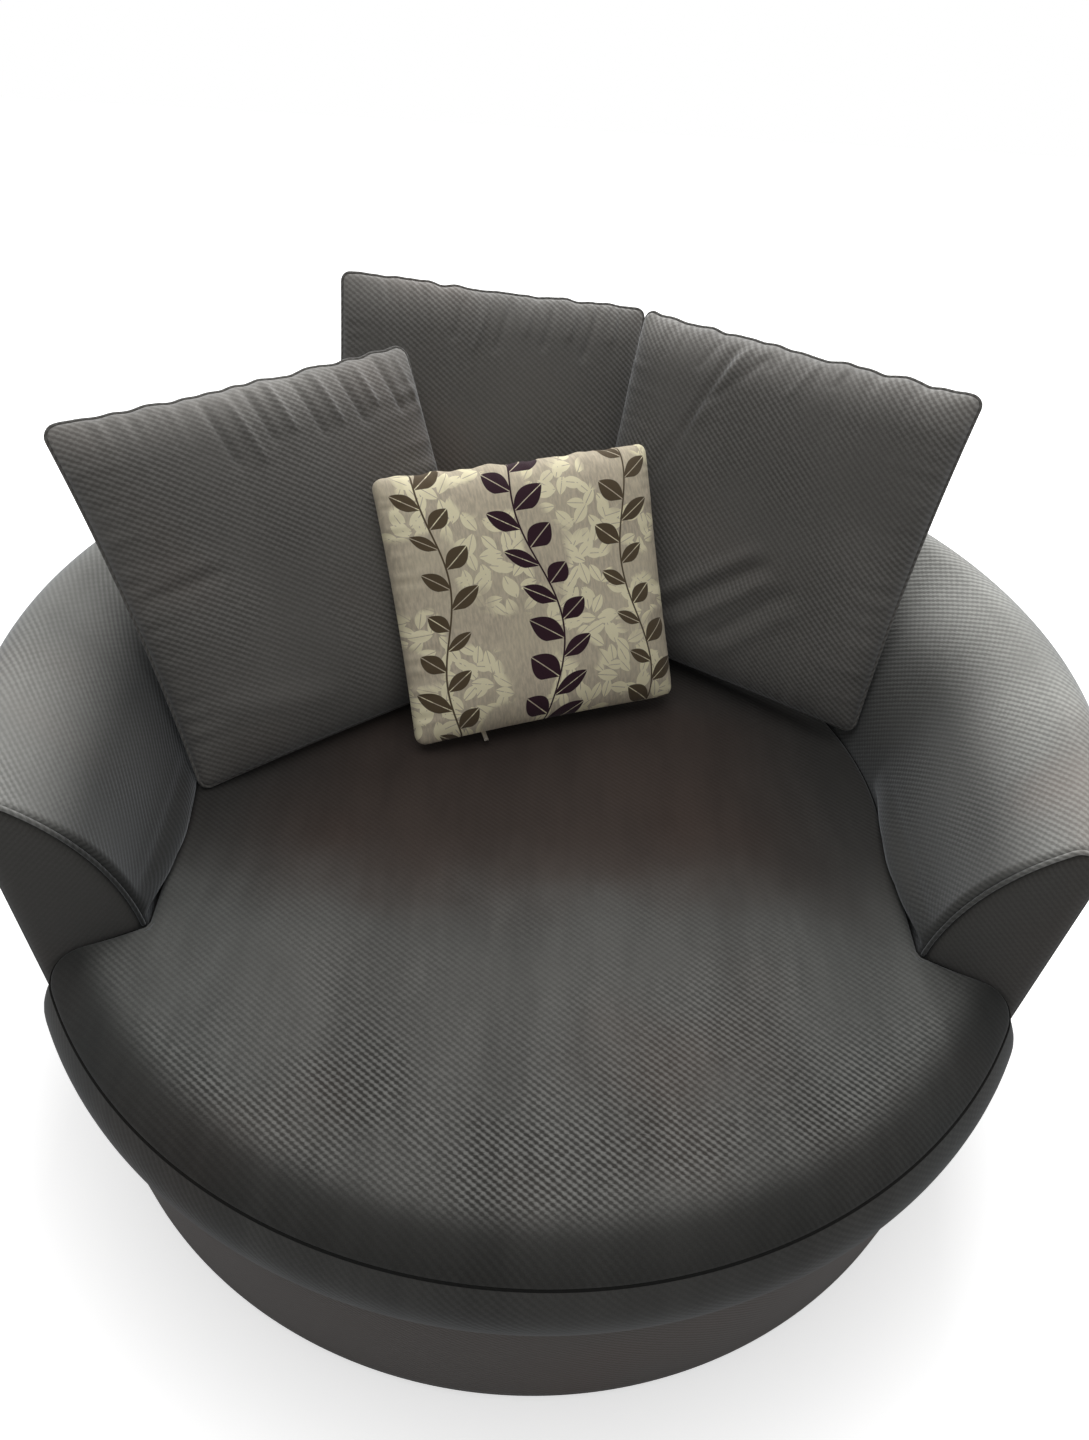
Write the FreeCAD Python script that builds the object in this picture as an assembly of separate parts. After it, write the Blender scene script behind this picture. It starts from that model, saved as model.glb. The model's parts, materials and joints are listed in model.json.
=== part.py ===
import FreeCAD, Part
import math
import os

V = FreeCAD.Vector
UP = V(0, 0, 1)

# The chair faces -Y. The origin is on the floor, on the swivel's axis. Lengths are in millimetres.

# Clearances
seat_gap = 0.3          # between pieces that lie against each other
ear_gap = 2.0           # seat cushion to the arms
fabric = 2.5            # upholstery cloth with its backing

# Plinth and turntable
glide_r, glide_h, glide_count, glide_pitch_r = 18.0, 8.0, 8, 430.0
plinth_r, plinth_t = 470.0, 25.0
plate_side, plate_t, plate_corner_r = 300.0, 3.0, 12.0
corner_hole_pitch_r, corner_hole_r = 185.0, 3.4
screw_r, screw_head_r, screw_head_h, screw_length = 2.5, 5.5, 2.6, 20.0
bolt_r, bolt_head_r, bolt_head_h = 3.0, 6.5, 3.2
nut_r, nut_h = 7.0, 5.0
race_r, race_half_width, race_h = 115.0, 14.0, 4.0
ball_r, ball_count, ball_play = 4.75, 12, 0.1
cage_t, cage_half_width = 1.2, 10.0
kingpin_r, kingpin_head_r, kingpin_head_h, kingpin_play = 8.0, 14.0, 3.0, 0.05

# Drum: its top radius sets the plan of everything above it
board_t, board_hole_r = 18.0, 40.0
dust_cloth_t, dust_inner_r = 0.8, 222.0
drum_top_z, drum_top_r = 300.0, 726.0
drum_bottom_z, drum_bottom_r = 28.0, drum_top_r - 21.0
drum_wall_t = 5.0
stud_side, stud_count, stud_gap = 45.0, 12, 4.0
deck_opening_r = drum_top_r - 296.0
strap_w, strap_t, strap_count = 50.0, 1.6, 7
strap_pitch, strap_end_r = deck_opening_r * 0.256, deck_opening_r + 90.0
strap_flat = 4.0        # how far a strap runs level past each side of a crossing
deck_cloth_t, deck_cloth_reach = 1.5, 20.0
drum_lip = 24.0

# Seat opening between the arms, and the sweep of the arms
arm_depth, arm_swell = 196.0, 8.0
opening_r = drum_top_r - arm_depth
opening_front_half = opening_r - arm_swell
arm_end = -28.7         # azimuth of the right arm's front facing, from +X
opening_front_y = opening_front_half * math.tan(math.radians(-arm_end))
shoulder_z = 420.0      # where the inside of the arms starts to slope back
rim_r, rim_z, rim_round = drum_top_r - 16.0, 672.0, 35.0
rim_end_r, rim_end_z, rim_end_round = drum_top_r - 5.0, 667.0, 24.0
slope_end, slope_end_front = 129.0, 141.0
outer_low_r = drum_top_r + 2.0

# Layers of the arms and back, from the seat side outwards
foam_t, foam_end_t = 42.0, 18.0
panel_t = 3.0
rib_t, rib_count, rib_first = 18.0, 9, -22.0
rib_hole_r, rib_hole_rise, rib_ease = 32.0, 10.0, 0.6
rail_in, rail_out, rail_low, rail_high = -17.0, 11.0, -34.0, -18.0
outer_panel_low = drum_top_z + 4.0

# Arm facings: board, pad and cloth in front of the arm's end
facing_depth, facing_board_t, facing_pad_t, facing_inset = 24.0, 12.0, 8.5, 6.2
piping_r, piping_gap = 3.0, 0.8

# Seat cushion
seat_edge_r = drum_top_r + 1.0
seat_bulge_r, seat_low_r = seat_edge_r + 18.0, seat_edge_r + 7.0
seat_edge_z, seat_bulge_z, seat_crown_z = 402.0, 352.0, 430.0
seat_roll, seat_roll_z = 55.0, 426.0   # width and start of the roll from the crown down to the front seam
ear_round = 40.0

# Loose cushions: width, height, thickness, then the middle of the lower seam, its turn, lean and roll
edge_half, draw_in = 4.0, 12.0
cushions = {
    "left_cushion": ((550.0, 550.0, 140.0), (-305.0, 118.5, 433.6), (37.0, 29.0, 0.8)),
    "right_cushion": ((550.0, 550.0, 130.0), (287.1, 293.1, 442.8), (-36.2, 20.5, 2.7)),
    "centre_cushion": ((500.0, 560.0, 105.0), (-131.5, 435.2, 460.0), (15.2, 22.0, -7.4)),
    "patterned_cushion": ((448.0, 423.0, 110.0), (12.1, 144.7, 444.4), (19.4, 31.3, 1.2)),
}
# Levels of a cushion's half: height, reach of the corners, reach of the middles of the sides
cushion_levels = (
    (0.00, 1.00, 1.00),
    (0.38, 0.89, 0.955),
    (0.64, 0.76, 0.86),
    (0.83, 0.58, 0.70),
    (0.96, 0.34, 0.42),
    (1.00, 0.14, 0.18),
)
pull_w, pull_t, pull_h, pull_gap = 7.0, 2.0, 22.0, 1.0
pull_place, pull_drop = 0.25, 10.0   # share of the width left of the middle, degrees below level

# Heights that follow from the stack under the seat
plinth_z = glide_h
lower_plate_z = plinth_z + plinth_t
race_gap = 2.4
lower_race_top = lower_plate_z + plate_t + race_h
ball_z = lower_race_top + race_gap / 2
upper_plate_z = lower_race_top + race_gap + race_h
board_z = upper_plate_z + plate_t
board_top = board_z + board_t
cloth_top = drum_top_z - 0.5
strap_low_z = cloth_top - deck_cloth_t - 2 * (strap_t + seat_gap)
deck_z = strap_low_z - seat_gap - board_t
deck_top = deck_z + board_t
seat_low_z = drum_top_z


def save(name, solids):
    shape = solids[0] if len(solids) == 1 else Part.makeCompound(solids)
    shape.exportStep(f"parts/{name}.step")


def disc(radius, low, high, x=0.0, y=0.0):
    return Part.makeCylinder(radius, high - low, V(x, y, low), UP)


def ring(inner, outer, low, high):
    return disc(outer, low, high).cut(disc(inner, low - 1, high + 1))


def face(edges):
    return Part.Face(Part.Wire(Part.__sortEdges__(edges)))


def chain(points):
    return [Part.LineSegment(a, b).toShape() for a, b in zip(points, points[1:])]


def turned(outline, start=0.0, sweep=360.0):
    """Revolve a section drawn at azimuth 0 about the swivel's axis."""
    solid = face(outline).revolve(V(0, 0, 0), UP, sweep)
    solid.rotate(V(0, 0, 0), UP, start)
    return solid


def around(shape, count, start=0.0, sweep=360.0):
    step = sweep / count if sweep == 360.0 else sweep / (count - 1)
    return [shape.copy().rotate(V(0, 0, 0), UP, start + step * i) for i in range(count)]


def mirrored(shape):
    return shape.mirror(V(0, 0, 0), V(1, 0, 0))


def drum_radius(z, inset):
    share = (z - drum_bottom_z) / (drum_top_z - drum_bottom_z)
    return drum_bottom_r + (drum_top_r - drum_bottom_r) * share - inset


def drum_band(low, high, outer, inner):
    """A tapered sleeve between two insets from the drum's outside."""
    points = [V(drum_radius(low, outer), 0, low), V(drum_radius(high, outer), 0, high)]
    points += [V(drum_radius(high, inner), 0, high), V(drum_radius(low, inner), 0, low)]
    return turned(chain(points + points[:1]))


# Plinth and turntable


def square_plate(low):
    plate = Part.makeBox(plate_side, plate_side, plate_t, V(-plate_side / 2, -plate_side / 2, low))
    upright = [e for e in plate.Edges if abs(e.Vertexes[0].Z - e.Vertexes[1].Z) > plate_t / 2]
    return plate.makeFillet(plate_corner_r, upright)


def corner_holes(plate, radius, low):
    for hole in around(disc(radius, low - 1, low + plate_t + 1, corner_hole_pitch_r), 4, 45.0):
        plate = plate.cut(hole)
    return plate


def race_groove():
    return Part.makeTorus(race_r, ball_r + ball_play, V(0, 0, ball_z), UP)


def turntable_plates():
    race_in, race_out = race_r - race_half_width, race_r + race_half_width
    lower = corner_holes(square_plate(lower_plate_z), corner_hole_r, lower_plate_z)
    lower = lower.fuse(ring(race_in, race_out, lower_plate_z + plate_t, lower_race_top))
    lower = lower.cut(race_groove()).cut(disc(kingpin_r + seat_gap, lower_plate_z - 1, board_z))
    upper = corner_holes(square_plate(upper_plate_z), corner_hole_r, upper_plate_z)
    upper.rotate(V(0, 0, 0), UP, 45)
    upper = upper.fuse(ring(race_in, race_out, upper_plate_z - race_h, upper_plate_z))
    upper = upper.cut(race_groove())
    upper = upper.cut(disc(kingpin_r + kingpin_play, upper_plate_z - 10, board_z + 1))
    save("turntable_lower_plate", [lower.removeSplitter()])
    save("turntable_upper_plate", [upper.removeSplitter()])


def turntable_balls():
    ball = Part.makeSphere(ball_r, V(race_r, 0, ball_z))
    cage = ring(race_r - cage_half_width, race_r + cage_half_width, ball_z - cage_t / 2, ball_z + cage_t / 2)
    pocket = disc(ball_r + ball_play, ball_z - 5, ball_z + 5, race_r)
    for hole in around(pocket, ball_count):
        cage = cage.cut(hole)
    save("bearing_balls", around(ball, ball_count))
    save("ball_cage", [cage])


def kingpin():
    """The pin joins the plates and keeps the chair on its base when it is lifted."""
    pin = disc(kingpin_head_r, lower_plate_z - kingpin_head_h, lower_plate_z)
    pin = pin.fuse(disc(kingpin_r, lower_plate_z, board_z + seat_gap))
    pin = pin.fuse(disc(kingpin_head_r, board_z + seat_gap, board_z + seat_gap + kingpin_head_h))
    save("kingpin", [pin.removeSplitter()])


def plinth():
    board = disc(plinth_r, plinth_z, lower_plate_z)
    board = board.cut(disc(kingpin_head_r + 1, lower_plate_z - kingpin_head_h - seat_gap, lower_plate_z + 1))
    pilot_low = lower_plate_z + plate_t - screw_length - seat_gap
    pilot = disc(screw_r + 0.1, pilot_low, lower_plate_z + 1, corner_hole_pitch_r)
    for hole in around(pilot, 4, 45.0):
        board = board.cut(hole)
    save("plinth_board", [board])
    head_z = lower_plate_z + plate_t
    screw = disc(screw_head_r, head_z, head_z + screw_head_h, corner_hole_pitch_r)
    screw = screw.fuse(disc(screw_r, head_z - screw_length, head_z, corner_hole_pitch_r))
    save("lower_plate_screws", around(screw.removeSplitter(), 4, 45.0))
    foot = disc(glide_r, 0, glide_h, glide_pitch_r)
    save("glides", around(foot, glide_count, 180.0 / glide_count))


# Drum


def bottom_board():
    board = disc(drum_radius(board_z, fabric + drum_wall_t + 2 * seat_gap), board_z, board_top)
    board = board.cut(disc(board_hole_r, board_z - 1, board_top + 1))
    for hole in around(disc(bolt_r + 0.2, board_z - 1, board_top + 1, corner_hole_pitch_r), 4):
        board = board.cut(hole)
    save("bottom_board", [board])
    bolt = disc(bolt_head_r, upper_plate_z - bolt_head_h, upper_plate_z, corner_hole_pitch_r)
    bolt = bolt.fuse(disc(bolt_r, upper_plate_z, board_top + nut_h, corner_hole_pitch_r))
    save("upper_plate_bolts", around(bolt.removeSplitter(), 4))
    nut = disc(nut_r, board_top, board_top + nut_h, corner_hole_pitch_r)
    nut = nut.cut(disc(bolt_r + 0.05, board_top - 1, board_top + nut_h + 1, corner_hole_pitch_r))
    save("upper_plate_nuts", around(nut, 4))


def drum():
    wall_inset = fabric + seat_gap
    wall_high = cloth_top - fabric - seat_gap
    save("drum_wall", [drum_band(drum_bottom_z + 2, wall_high, wall_inset, wall_inset + drum_wall_t)])
    sleeve = drum_band(drum_bottom_z, cloth_top, 0, fabric)
    lip = ring(drum_top_r - drum_lip, drum_radius(cloth_top, fabric), cloth_top - fabric, cloth_top)
    save("drum_cover", [sleeve.fuse(lip).removeSplitter()])
    inner_low = drum_radius(board_z, wall_inset + drum_wall_t + seat_gap)
    dust = ring(dust_inner_r, inner_low - 1, board_z - dust_cloth_t, board_z)
    save("dust_cover", [dust])
    stud_outer = drum_radius(board_top, wall_inset + drum_wall_t + seat_gap) - stud_gap
    stud = Part.makeBox(stud_side, stud_side, deck_z - board_top, V(stud_outer - stud_side, -stud_side / 2, board_top))
    save("drum_studs", around(stud, stud_count, 180.0 / stud_count))
    deck_r = drum_radius(deck_z, wall_inset + drum_wall_t + seat_gap)
    save("deck_ring", [ring(deck_opening_r, deck_r, deck_z, deck_top)])


def strap(row, lengthwise):
    """One strap of the woven deck: over one crossing strap and under the next."""
    offset = (row - (strap_count - 1) / 2) * strap_pitch
    end = math.sqrt(strap_end_r**2 - offset**2)
    flat = strap_w / 2 + strap_flat
    high_z = strap_low_z + strap_t + seat_gap
    path = [(-end, strap_low_z)]
    for crossing in range(strap_count):
        middle = (crossing - (strap_count - 1) / 2) * strap_pitch
        over = (row + crossing) % 2 == (0 if lengthwise else 1)
        z = high_z if over else strap_low_z
        path += [(middle - flat, z), (middle + flat, z)]
    path += [(end, strap_low_z)]
    upper = [V(s, 0, z + strap_t) for s, z in path]
    lower = [V(s, 0, z) for s, z in reversed(path)]
    outline = Part.Face(Part.Wire(chain(upper + lower + upper[:1])))
    outline.translate(V(0, offset - strap_w / 2, 0))
    solid = outline.extrude(V(0, strap_w, 0))
    if lengthwise:
        solid.rotate(V(0, 0, 0), UP, 90)
        solid = solid.mirror(V(0, 0, 0), V(1, 0, 0))
    return solid


def deck():
    save("lengthwise_straps", [strap(i, True) for i in range(strap_count)])
    save("crosswise_straps", [strap(i, False) for i in range(strap_count)])
    plan = face(seat_outline(-deck_cloth_reach))
    plan.translate(UP * (cloth_top - deck_cloth_t))
    cloth = plan.extrude(UP * deck_cloth_t)
    cloth = cloth.common(disc(drum_top_r - drum_lip - seat_gap, cloth_top - 2 * deck_cloth_t, cloth_top + 1))
    save("deck_cloth", [cloth])


# Arms and back: every layer is drawn from one radial section that changes from the back to the arm's end


class Section:
    """The radial section of the arms and back at an azimuth, from the seat side over the rim."""

    def __init__(self, azimuth):
        self.azimuth = azimuth
        share = (min(azimuth, 0.0) / arm_end) ** 2
        angle = math.radians(min(azimuth, 0.0))
        taper = (opening_r - opening_front_half) / opening_front_y
        self.inner_r = opening_r / (math.cos(angle) - taper * math.sin(angle))
        self.rim = (rim_r + (rim_end_r - rim_r) * share, rim_z + (rim_end_z - rim_z) * share)
        self.round = rim_round + (rim_end_round - rim_round) * share
        self.foam = foam_t + (foam_end_t - foam_t) * share
        self.slope_end = slope_end + (slope_end_front - slope_end) * share
        turn = math.radians(self.slope_end)
        self.normal = (math.cos(turn), math.sin(turn))
        top = (self.rim[0] + self.round * self.normal[0], self.rim[1] + self.round * self.normal[1])
        across = (self.inner_r - top[0], shoulder_z - top[1])
        reach = across[0] ** 2 + across[1] ** 2
        self.slope_r = -reach / (2 * (across[0] * self.normal[0] + across[1] * self.normal[1]))
        self.centre = (top[0] - self.slope_r * self.normal[0], top[1] - self.slope_r * self.normal[1])
        low = (self.inner_r - self.centre[0], shoulder_z - self.centre[1])
        self.low_turn = math.degrees(math.atan2(low[1], low[0])) % 360

    def point(self, r, z):
        angle = math.radians(self.azimuth)
        return V(r * math.cos(angle), r * math.sin(angle), z)

    def on_slope(self, turn, inset):
        radius = self.slope_r - inset
        angle = math.radians(turn)
        return (self.centre[0] + radius * math.cos(angle), self.centre[1] + radius * math.sin(angle))

    def on_rim(self, turn, inset):
        radius = self.round - inset
        angle = math.radians(turn)
        return (self.rim[0] + radius * math.cos(angle), self.rim[1] + radius * math.sin(angle))

    def slope_turn(self, z, inset):
        """The turn on the slope, at an inset, that lies at height z."""
        return 180 - math.degrees(math.asin((z - self.centre[1]) / (self.slope_r - inset)))

    def outer(self, z, inset):
        share = (z - drum_top_z) / (self.rim[1] - drum_top_z)
        r = outer_low_r + (self.rim[0] + self.round - outer_low_r) * share
        return (r - inset, z)

    def line(self, *points):
        return chain([self.point(*p) for p in points])

    def slope(self, low_turn, high_turn, inset):
        turns = (low_turn, (low_turn + high_turn) / 2, high_turn)
        return Part.Arc(*[self.point(*self.on_slope(t, inset)) for t in turns]).toShape()

    def over_rim(self, first, last, inset):
        turns = (first, (first + last) / 2, last)
        return Part.Arc(*[self.point(*self.on_rim(t, inset)) for t in turns]).toShape()


def cloth_band(section, low, inset, thickness):
    """The inner cover: up the seat side, over the rim and down to its widest point."""
    edges = []
    ends = []
    for depth in (inset, inset + thickness):
        start = section.on_slope(section.low_turn, depth)
        finish = section.on_rim(0, depth)
        edges.append(section.line((start[0], low), start)[0])
        edges.append(section.slope(section.low_turn, section.slope_end, depth))
        edges.append(section.over_rim(section.slope_end, 0, depth))
        ends.append(((start[0], low), finish))
    edges += section.line(ends[0][0], ends[1][0])
    edges += section.line(ends[0][1], ends[1][1])
    return edges


def outer_cover_band(section):
    low, high = cloth_top + seat_gap, section.rim[1] - seat_gap
    corners = [section.outer(low, 0), section.outer(high, 0)]
    corners += [section.outer(high, fabric), section.outer(low, fabric)]
    return section.line(*corners, corners[0])


def outer_panel_band(section):
    low, high = outer_panel_low, section.rim[1] + rail_high
    inset = fabric + seat_gap
    corners = [section.outer(low, inset), section.outer(high, inset)]
    corners += [section.outer(high, inset + panel_t), section.outer(low, inset + panel_t)]
    return section.line(*corners, corners[0])


def rail_band(section):
    inner, outer = section.rim[0] + rail_in, section.rim[0] + rail_out
    low, high = section.rim[1] + rail_low, section.rim[1] + rail_high
    return section.line((inner, low), (outer, low), (outer, high), (inner, high), (inner, low))


def inner_panel_band(section):
    low = deck_top + seat_gap
    inset = fabric + section.foam + 2 * seat_gap
    high = section.rim[1] + rail_low
    edges = []
    ends = []
    for depth in (inset, inset + panel_t):
        start = section.on_slope(section.low_turn, depth)
        last = section.slope_turn(high, depth)
        edges.append(section.line((start[0], low), start)[0])
        edges.append(section.slope(section.low_turn, last, depth))
        ends.append(((start[0], low), section.on_slope(last, depth)))
    edges += section.line(ends[0][0], ends[1][0])
    edges += section.line(ends[0][1], ends[1][1])
    return edges


def foam_band(section):
    """The wrap: thick on the seat side, rolled over the top rail."""
    low = cloth_top + seat_gap
    near, far = fabric + seat_gap, fabric + seat_gap + section.foam
    start = section.on_slope(section.low_turn, near)
    back = section.on_slope(section.low_turn, far)
    rail_top = section.rim[1] + rail_high + seat_gap
    rail_bottom = section.rim[1] + rail_low
    rail_outer = section.rim[0] + rail_out + seat_gap
    last = section.slope_turn(rail_bottom, far)
    behind = section.on_slope(last, far)
    rim_end = section.on_rim(0, near)
    hem = section.outer(rail_top, near)
    edges = [section.line((start[0], low), start)[0]]
    edges.append(section.slope(section.low_turn, section.slope_end, near))
    edges.append(section.over_rim(section.slope_end, 0, near))
    edges += section.line(rim_end, hem, (rail_outer, rail_top), (behind[0], rail_top), behind)
    edges.append(section.slope(section.low_turn, last, far))
    edges += section.line(back, (back[0], low), (start[0], low))
    return edges


def along_arm(band, front):
    """Carry a band along the right arm to the plane at front."""
    steps = 4
    wires = [Part.Wire(Part.__sortEdges__(band(Section(arm_end * i / steps)))) for i in range(steps + 1)]
    return Part.makeLoft(wires, True, False).cut(in_front_of(front))


def swept(band, front):
    """Turn a band through the half circle behind, and carry it along both arms to the plane at front."""
    back = turned(band(Section(0.0)), 0.0, 180.0)
    arm = along_arm(band, front)
    return back.fuse([arm, mirrored(arm)]).removeSplitter()


def facing_axes():
    angle = math.radians(arm_end)
    return V(math.cos(angle), math.sin(angle), 0), V(math.sin(angle), -math.cos(angle), 0)


def in_front_of(depth):
    """Everything in front of the right arm's facing, from that depth behind its face."""
    along, forward = facing_axes()
    across, ahead = along * (2 * rim_r), forward * rim_r
    start = forward * (-depth)
    base = [start, start + across, start + across + ahead, start + ahead]
    return Part.Face(Part.Wire(chain(base + base[:1]))).extrude(UP * (2 * rim_z))


def facing_outline(section, inset, low):
    start = section.on_slope(section.low_turn, inset)
    finish = section.on_rim(0, inset)
    below = section.outer(low, inset)
    edges = [section.line((start[0], low), start)[0]]
    edges.append(section.slope(section.low_turn, section.slope_end, inset))
    edges.append(section.over_rim(section.slope_end, 0, inset))
    edges += section.line(finish, below, (start[0], low))
    return Part.Wire(Part.__sortEdges__(edges))


def facing_slab(inset, low, back, front):
    along, forward = facing_axes()
    slab = Part.Face(facing_outline(Section(arm_end), inset, low)).extrude(forward * (back - front))
    slab.translate(forward * (-back))
    return slab


def facing_piping(section):
    """Cord-filled trim down the seat side of the facing and over its top."""
    along, forward = facing_axes()
    inset = piping_r + 0.1
    pieces = []
    stretches = (
        (section.centre, section.on_slope(section.low_turn, inset), section.slope_end - section.low_turn),
        (section.rim, section.on_rim(section.slope_end, inset), -section.slope_end),
    )
    for centre, start, sweep in stretches:
        hub = section.point(*centre)
        begin = section.point(*start)
        tangent = (begin - hub).cross(forward)
        circle = Part.Face(Part.Wire(Part.makeCircle(piping_r, begin, tangent)))
        pieces.append(circle.revolve(hub, forward, sweep))
    cord = pieces[0].fuse(pieces[1]).removeSplitter()
    cord.translate(forward * (-piping_r - seat_gap))
    return cord


def facings():
    section = Section(arm_end)
    low = cloth_top + seat_gap
    board_front = facing_depth - facing_board_t
    pad_back = board_front - seat_gap
    board = facing_slab(facing_inset, low, facing_depth, board_front)
    pad = facing_slab(facing_inset, low, pad_back, pad_back - facing_pad_t)
    cover = facing_slab(facing_inset, low, pad_back - facing_pad_t - seat_gap, 0)
    cord = facing_piping(section)
    for name, solid in (("board", board), ("pad", pad), ("cover", cover), ("piping", cord)):
        save(f"right_facing_{name}", [solid])
        save(f"left_facing_{name}", [mirrored(solid)])


def rib(azimuth):
    """A fin between the inner and outer panels, standing on the deck ring."""
    section = Section(azimuth)
    splay = rib_t / 2 * math.tan(math.radians(max(-azimuth, 0.0)))
    inset = fabric + section.foam + panel_t + 3 * seat_gap + splay + rib_ease
    outer_inset = fabric + panel_t + 2 * seat_gap + rib_ease
    high = section.rim[1] + rail_low - seat_gap
    last = section.slope_turn(high, inset)
    start = section.on_slope(section.low_turn, inset)
    inner_top = section.on_slope(last, inset)
    outer_top = (section.rim[0] + rail_out, high)
    shoulder = section.outer(outer_panel_low, outer_inset)
    foot_r = drum_top_r - drum_lip - rib_ease
    outer_foot = (foot_r, deck_top)
    edges = [section.line((start[0], deck_top), start)[0]]
    edges.append(section.slope(section.low_turn, last, inset))
    edges += section.line(inner_top, outer_top, shoulder, (foot_r, outer_panel_low), outer_foot, (start[0], deck_top))
    fin = face(edges)
    angle = math.radians(azimuth)
    across = V(-math.sin(angle), math.cos(angle), 0)
    fin.translate(across * (-rib_t / 2))
    fin = fin.extrude(across * rib_t)
    hole_r = (start[0] + foot_r) / 2
    middle = section.point(hole_r, (deck_top + shoulder_z) / 2 + rib_hole_rise)
    return fin.cut(Part.makeCylinder(rib_hole_r, rib_t + 2, middle - across * (rib_t / 2 + 1), across))


def wrap_foam(front):
    """The wrap is cut in four: one length on each arm and two that meet behind the middle of the back."""
    joint = math.degrees(seat_gap / opening_r)
    back = turned(foam_band(Section(0.0)), joint, 90.0 - joint)
    arm = along_arm(foam_band, front)
    save("right_back_foam", [back])
    save("left_back_foam", [mirrored(back.rotated(V(0, 0, 0), UP, -joint / 2))])
    save("right_arm_foam", [arm])
    save("left_arm_foam", [mirrored(arm)])


def arms_and_back():
    behind_facing = facing_depth + seat_gap
    step = (90.0 - rib_first) / ((rib_count - 1) / 2)
    right = [rib(rib_first + step * i) for i in range(rib_count // 2)]
    ribs = right + [rib(90.0)] + [mirrored(fin) for fin in reversed(right)]
    save("frame_ribs", ribs)
    save("top_rail", [swept(rail_band, behind_facing)])
    save("inner_panel", [swept(inner_panel_band, behind_facing)])
    save("outer_panel", [swept(outer_panel_band, behind_facing)])
    wrap_foam(behind_facing)
    cover_front = 2 * (piping_r + seat_gap)
    low = cloth_top + seat_gap
    save("inner_cover", [swept(lambda s: cloth_band(s, low, 0, fabric), cover_front)])
    save("outer_cover", [swept(outer_cover_band, cover_front)])


# Seat cushion


def seat_outline(inset):
    """Plan of the cushion: a half circle behind, straight sides, and ears that pass in front of the arms."""
    along, forward = facing_axes()
    gap = ear_gap + inset
    back_r = opening_r - gap
    taper = (opening_r - opening_front_half) / opening_front_y
    edge = forward * gap
    reach = (back_r + taper * edge.y - edge.x) / (along.x - taper * along.y)
    inner = along * reach + edge
    outer_r = seat_bulge_r + 2 - inset
    tip = math.sqrt(outer_r**2 - gap**2)
    corner = along * tip + edge
    before = along * (tip - ear_round) + edge
    turn = math.atan2(corner.y, corner.x) - ear_round / outer_r
    after = V(outer_r * math.cos(turn), outer_r * math.sin(turn), 0)
    middle = (before + after) * 0.25 + corner * 0.5
    right = [
        Part.LineSegment(V(back_r, 0, 0), inner).toShape(),
        Part.LineSegment(inner, before).toShape(),
        Part.Arc(before, middle, after).toShape(),
    ]
    back = Part.Arc(V(back_r, 0, 0), V(0, back_r, 0), V(-back_r, 0, 0)).toShape()
    front = Part.Arc(after, V(0, -outer_r, 0), V(-after.x, after.y, 0)).toShape()
    return right + [mirrored(e) for e in right] + [back, front]


def below(centre, place, inset):
    """A place on a circle about centre, moved in towards the centre."""
    return place - (place - centre).normalize() * inset


def seat_form(inset):
    """Crowned top that rolls down to the front seam, front that bulges between its two seams, flat underside."""
    low = seat_low_z + inset
    roll_r = seat_edge_r - seat_roll
    rise = seat_crown_z - seat_roll_z
    dome_r = (roll_r**2 + rise**2) / (2 * rise)
    dome_centre = V(0, 0, seat_crown_z - dome_r)
    half_turn = math.asin(roll_r / dome_r) / 2
    on_dome = dome_centre + V(math.sin(half_turn), 0, math.cos(half_turn)) * dome_r
    roll, edge = V(roll_r, 0, seat_roll_z), V(seat_edge_r, 0, seat_edge_z)
    normal = (roll - dome_centre).normalize()
    down = edge - roll
    roll_round = -down.Length**2 / (2 * down.dot(normal))
    roll_centre = roll - normal * roll_round
    on_roll = roll_centre + ((roll + edge) * 0.5 - roll_centre).normalize() * roll_round
    crown = V(0, 0, seat_crown_z - inset)
    edge_in = below(roll_centre, edge, inset)
    roll_in = below(roll_centre, roll, inset)
    foot = V(seat_low_r - inset, 0, low)
    edges = [Part.LineSegment(V(0, 0, low), foot).toShape()]
    edges.append(Part.Arc(foot, V(seat_bulge_r - inset, 0, seat_bulge_z), edge_in).toShape())
    edges.append(Part.Arc(edge_in, below(roll_centre, on_roll, inset), roll_in).toShape())
    edges.append(Part.Arc(roll_in, below(dome_centre, on_dome, inset), crown).toShape())
    edges.append(Part.LineSegment(crown, V(0, 0, low)).toShape())
    dome = turned(edges)
    plan = face(seat_outline(inset))
    plan.translate(V(0, 0, low))
    return plan.extrude(UP * (seat_crown_z - low)).common(dome)


def seat_piping(radius):
    section = Part.Face(Part.Wire(Part.makeCircle(radius, V(seat_edge_r + 1, 0, seat_edge_z + 1), V(0, 1, 0))))
    margin = math.degrees((ear_round + 20) / seat_edge_r)
    start = 180 - arm_end + margin
    sweep = 180 + 2 * arm_end - 2 * margin
    cord = section.revolve(V(0, 0, 0), UP, sweep)
    cord.rotate(V(0, 0, 0), UP, start)
    return cord


def seat_cushion():
    groove = seat_piping(piping_r + piping_gap)
    cover = seat_form(0).cut(seat_form(fabric)).cut(groove)
    foam = seat_form(fabric + seat_gap).cut(groove)
    save("seat_cushion_piping", [seat_piping(piping_r)])
    save("seat_cushion_cover", [cover])
    save("seat_cushion_foam", [foam])


# Loose cushions


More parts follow.
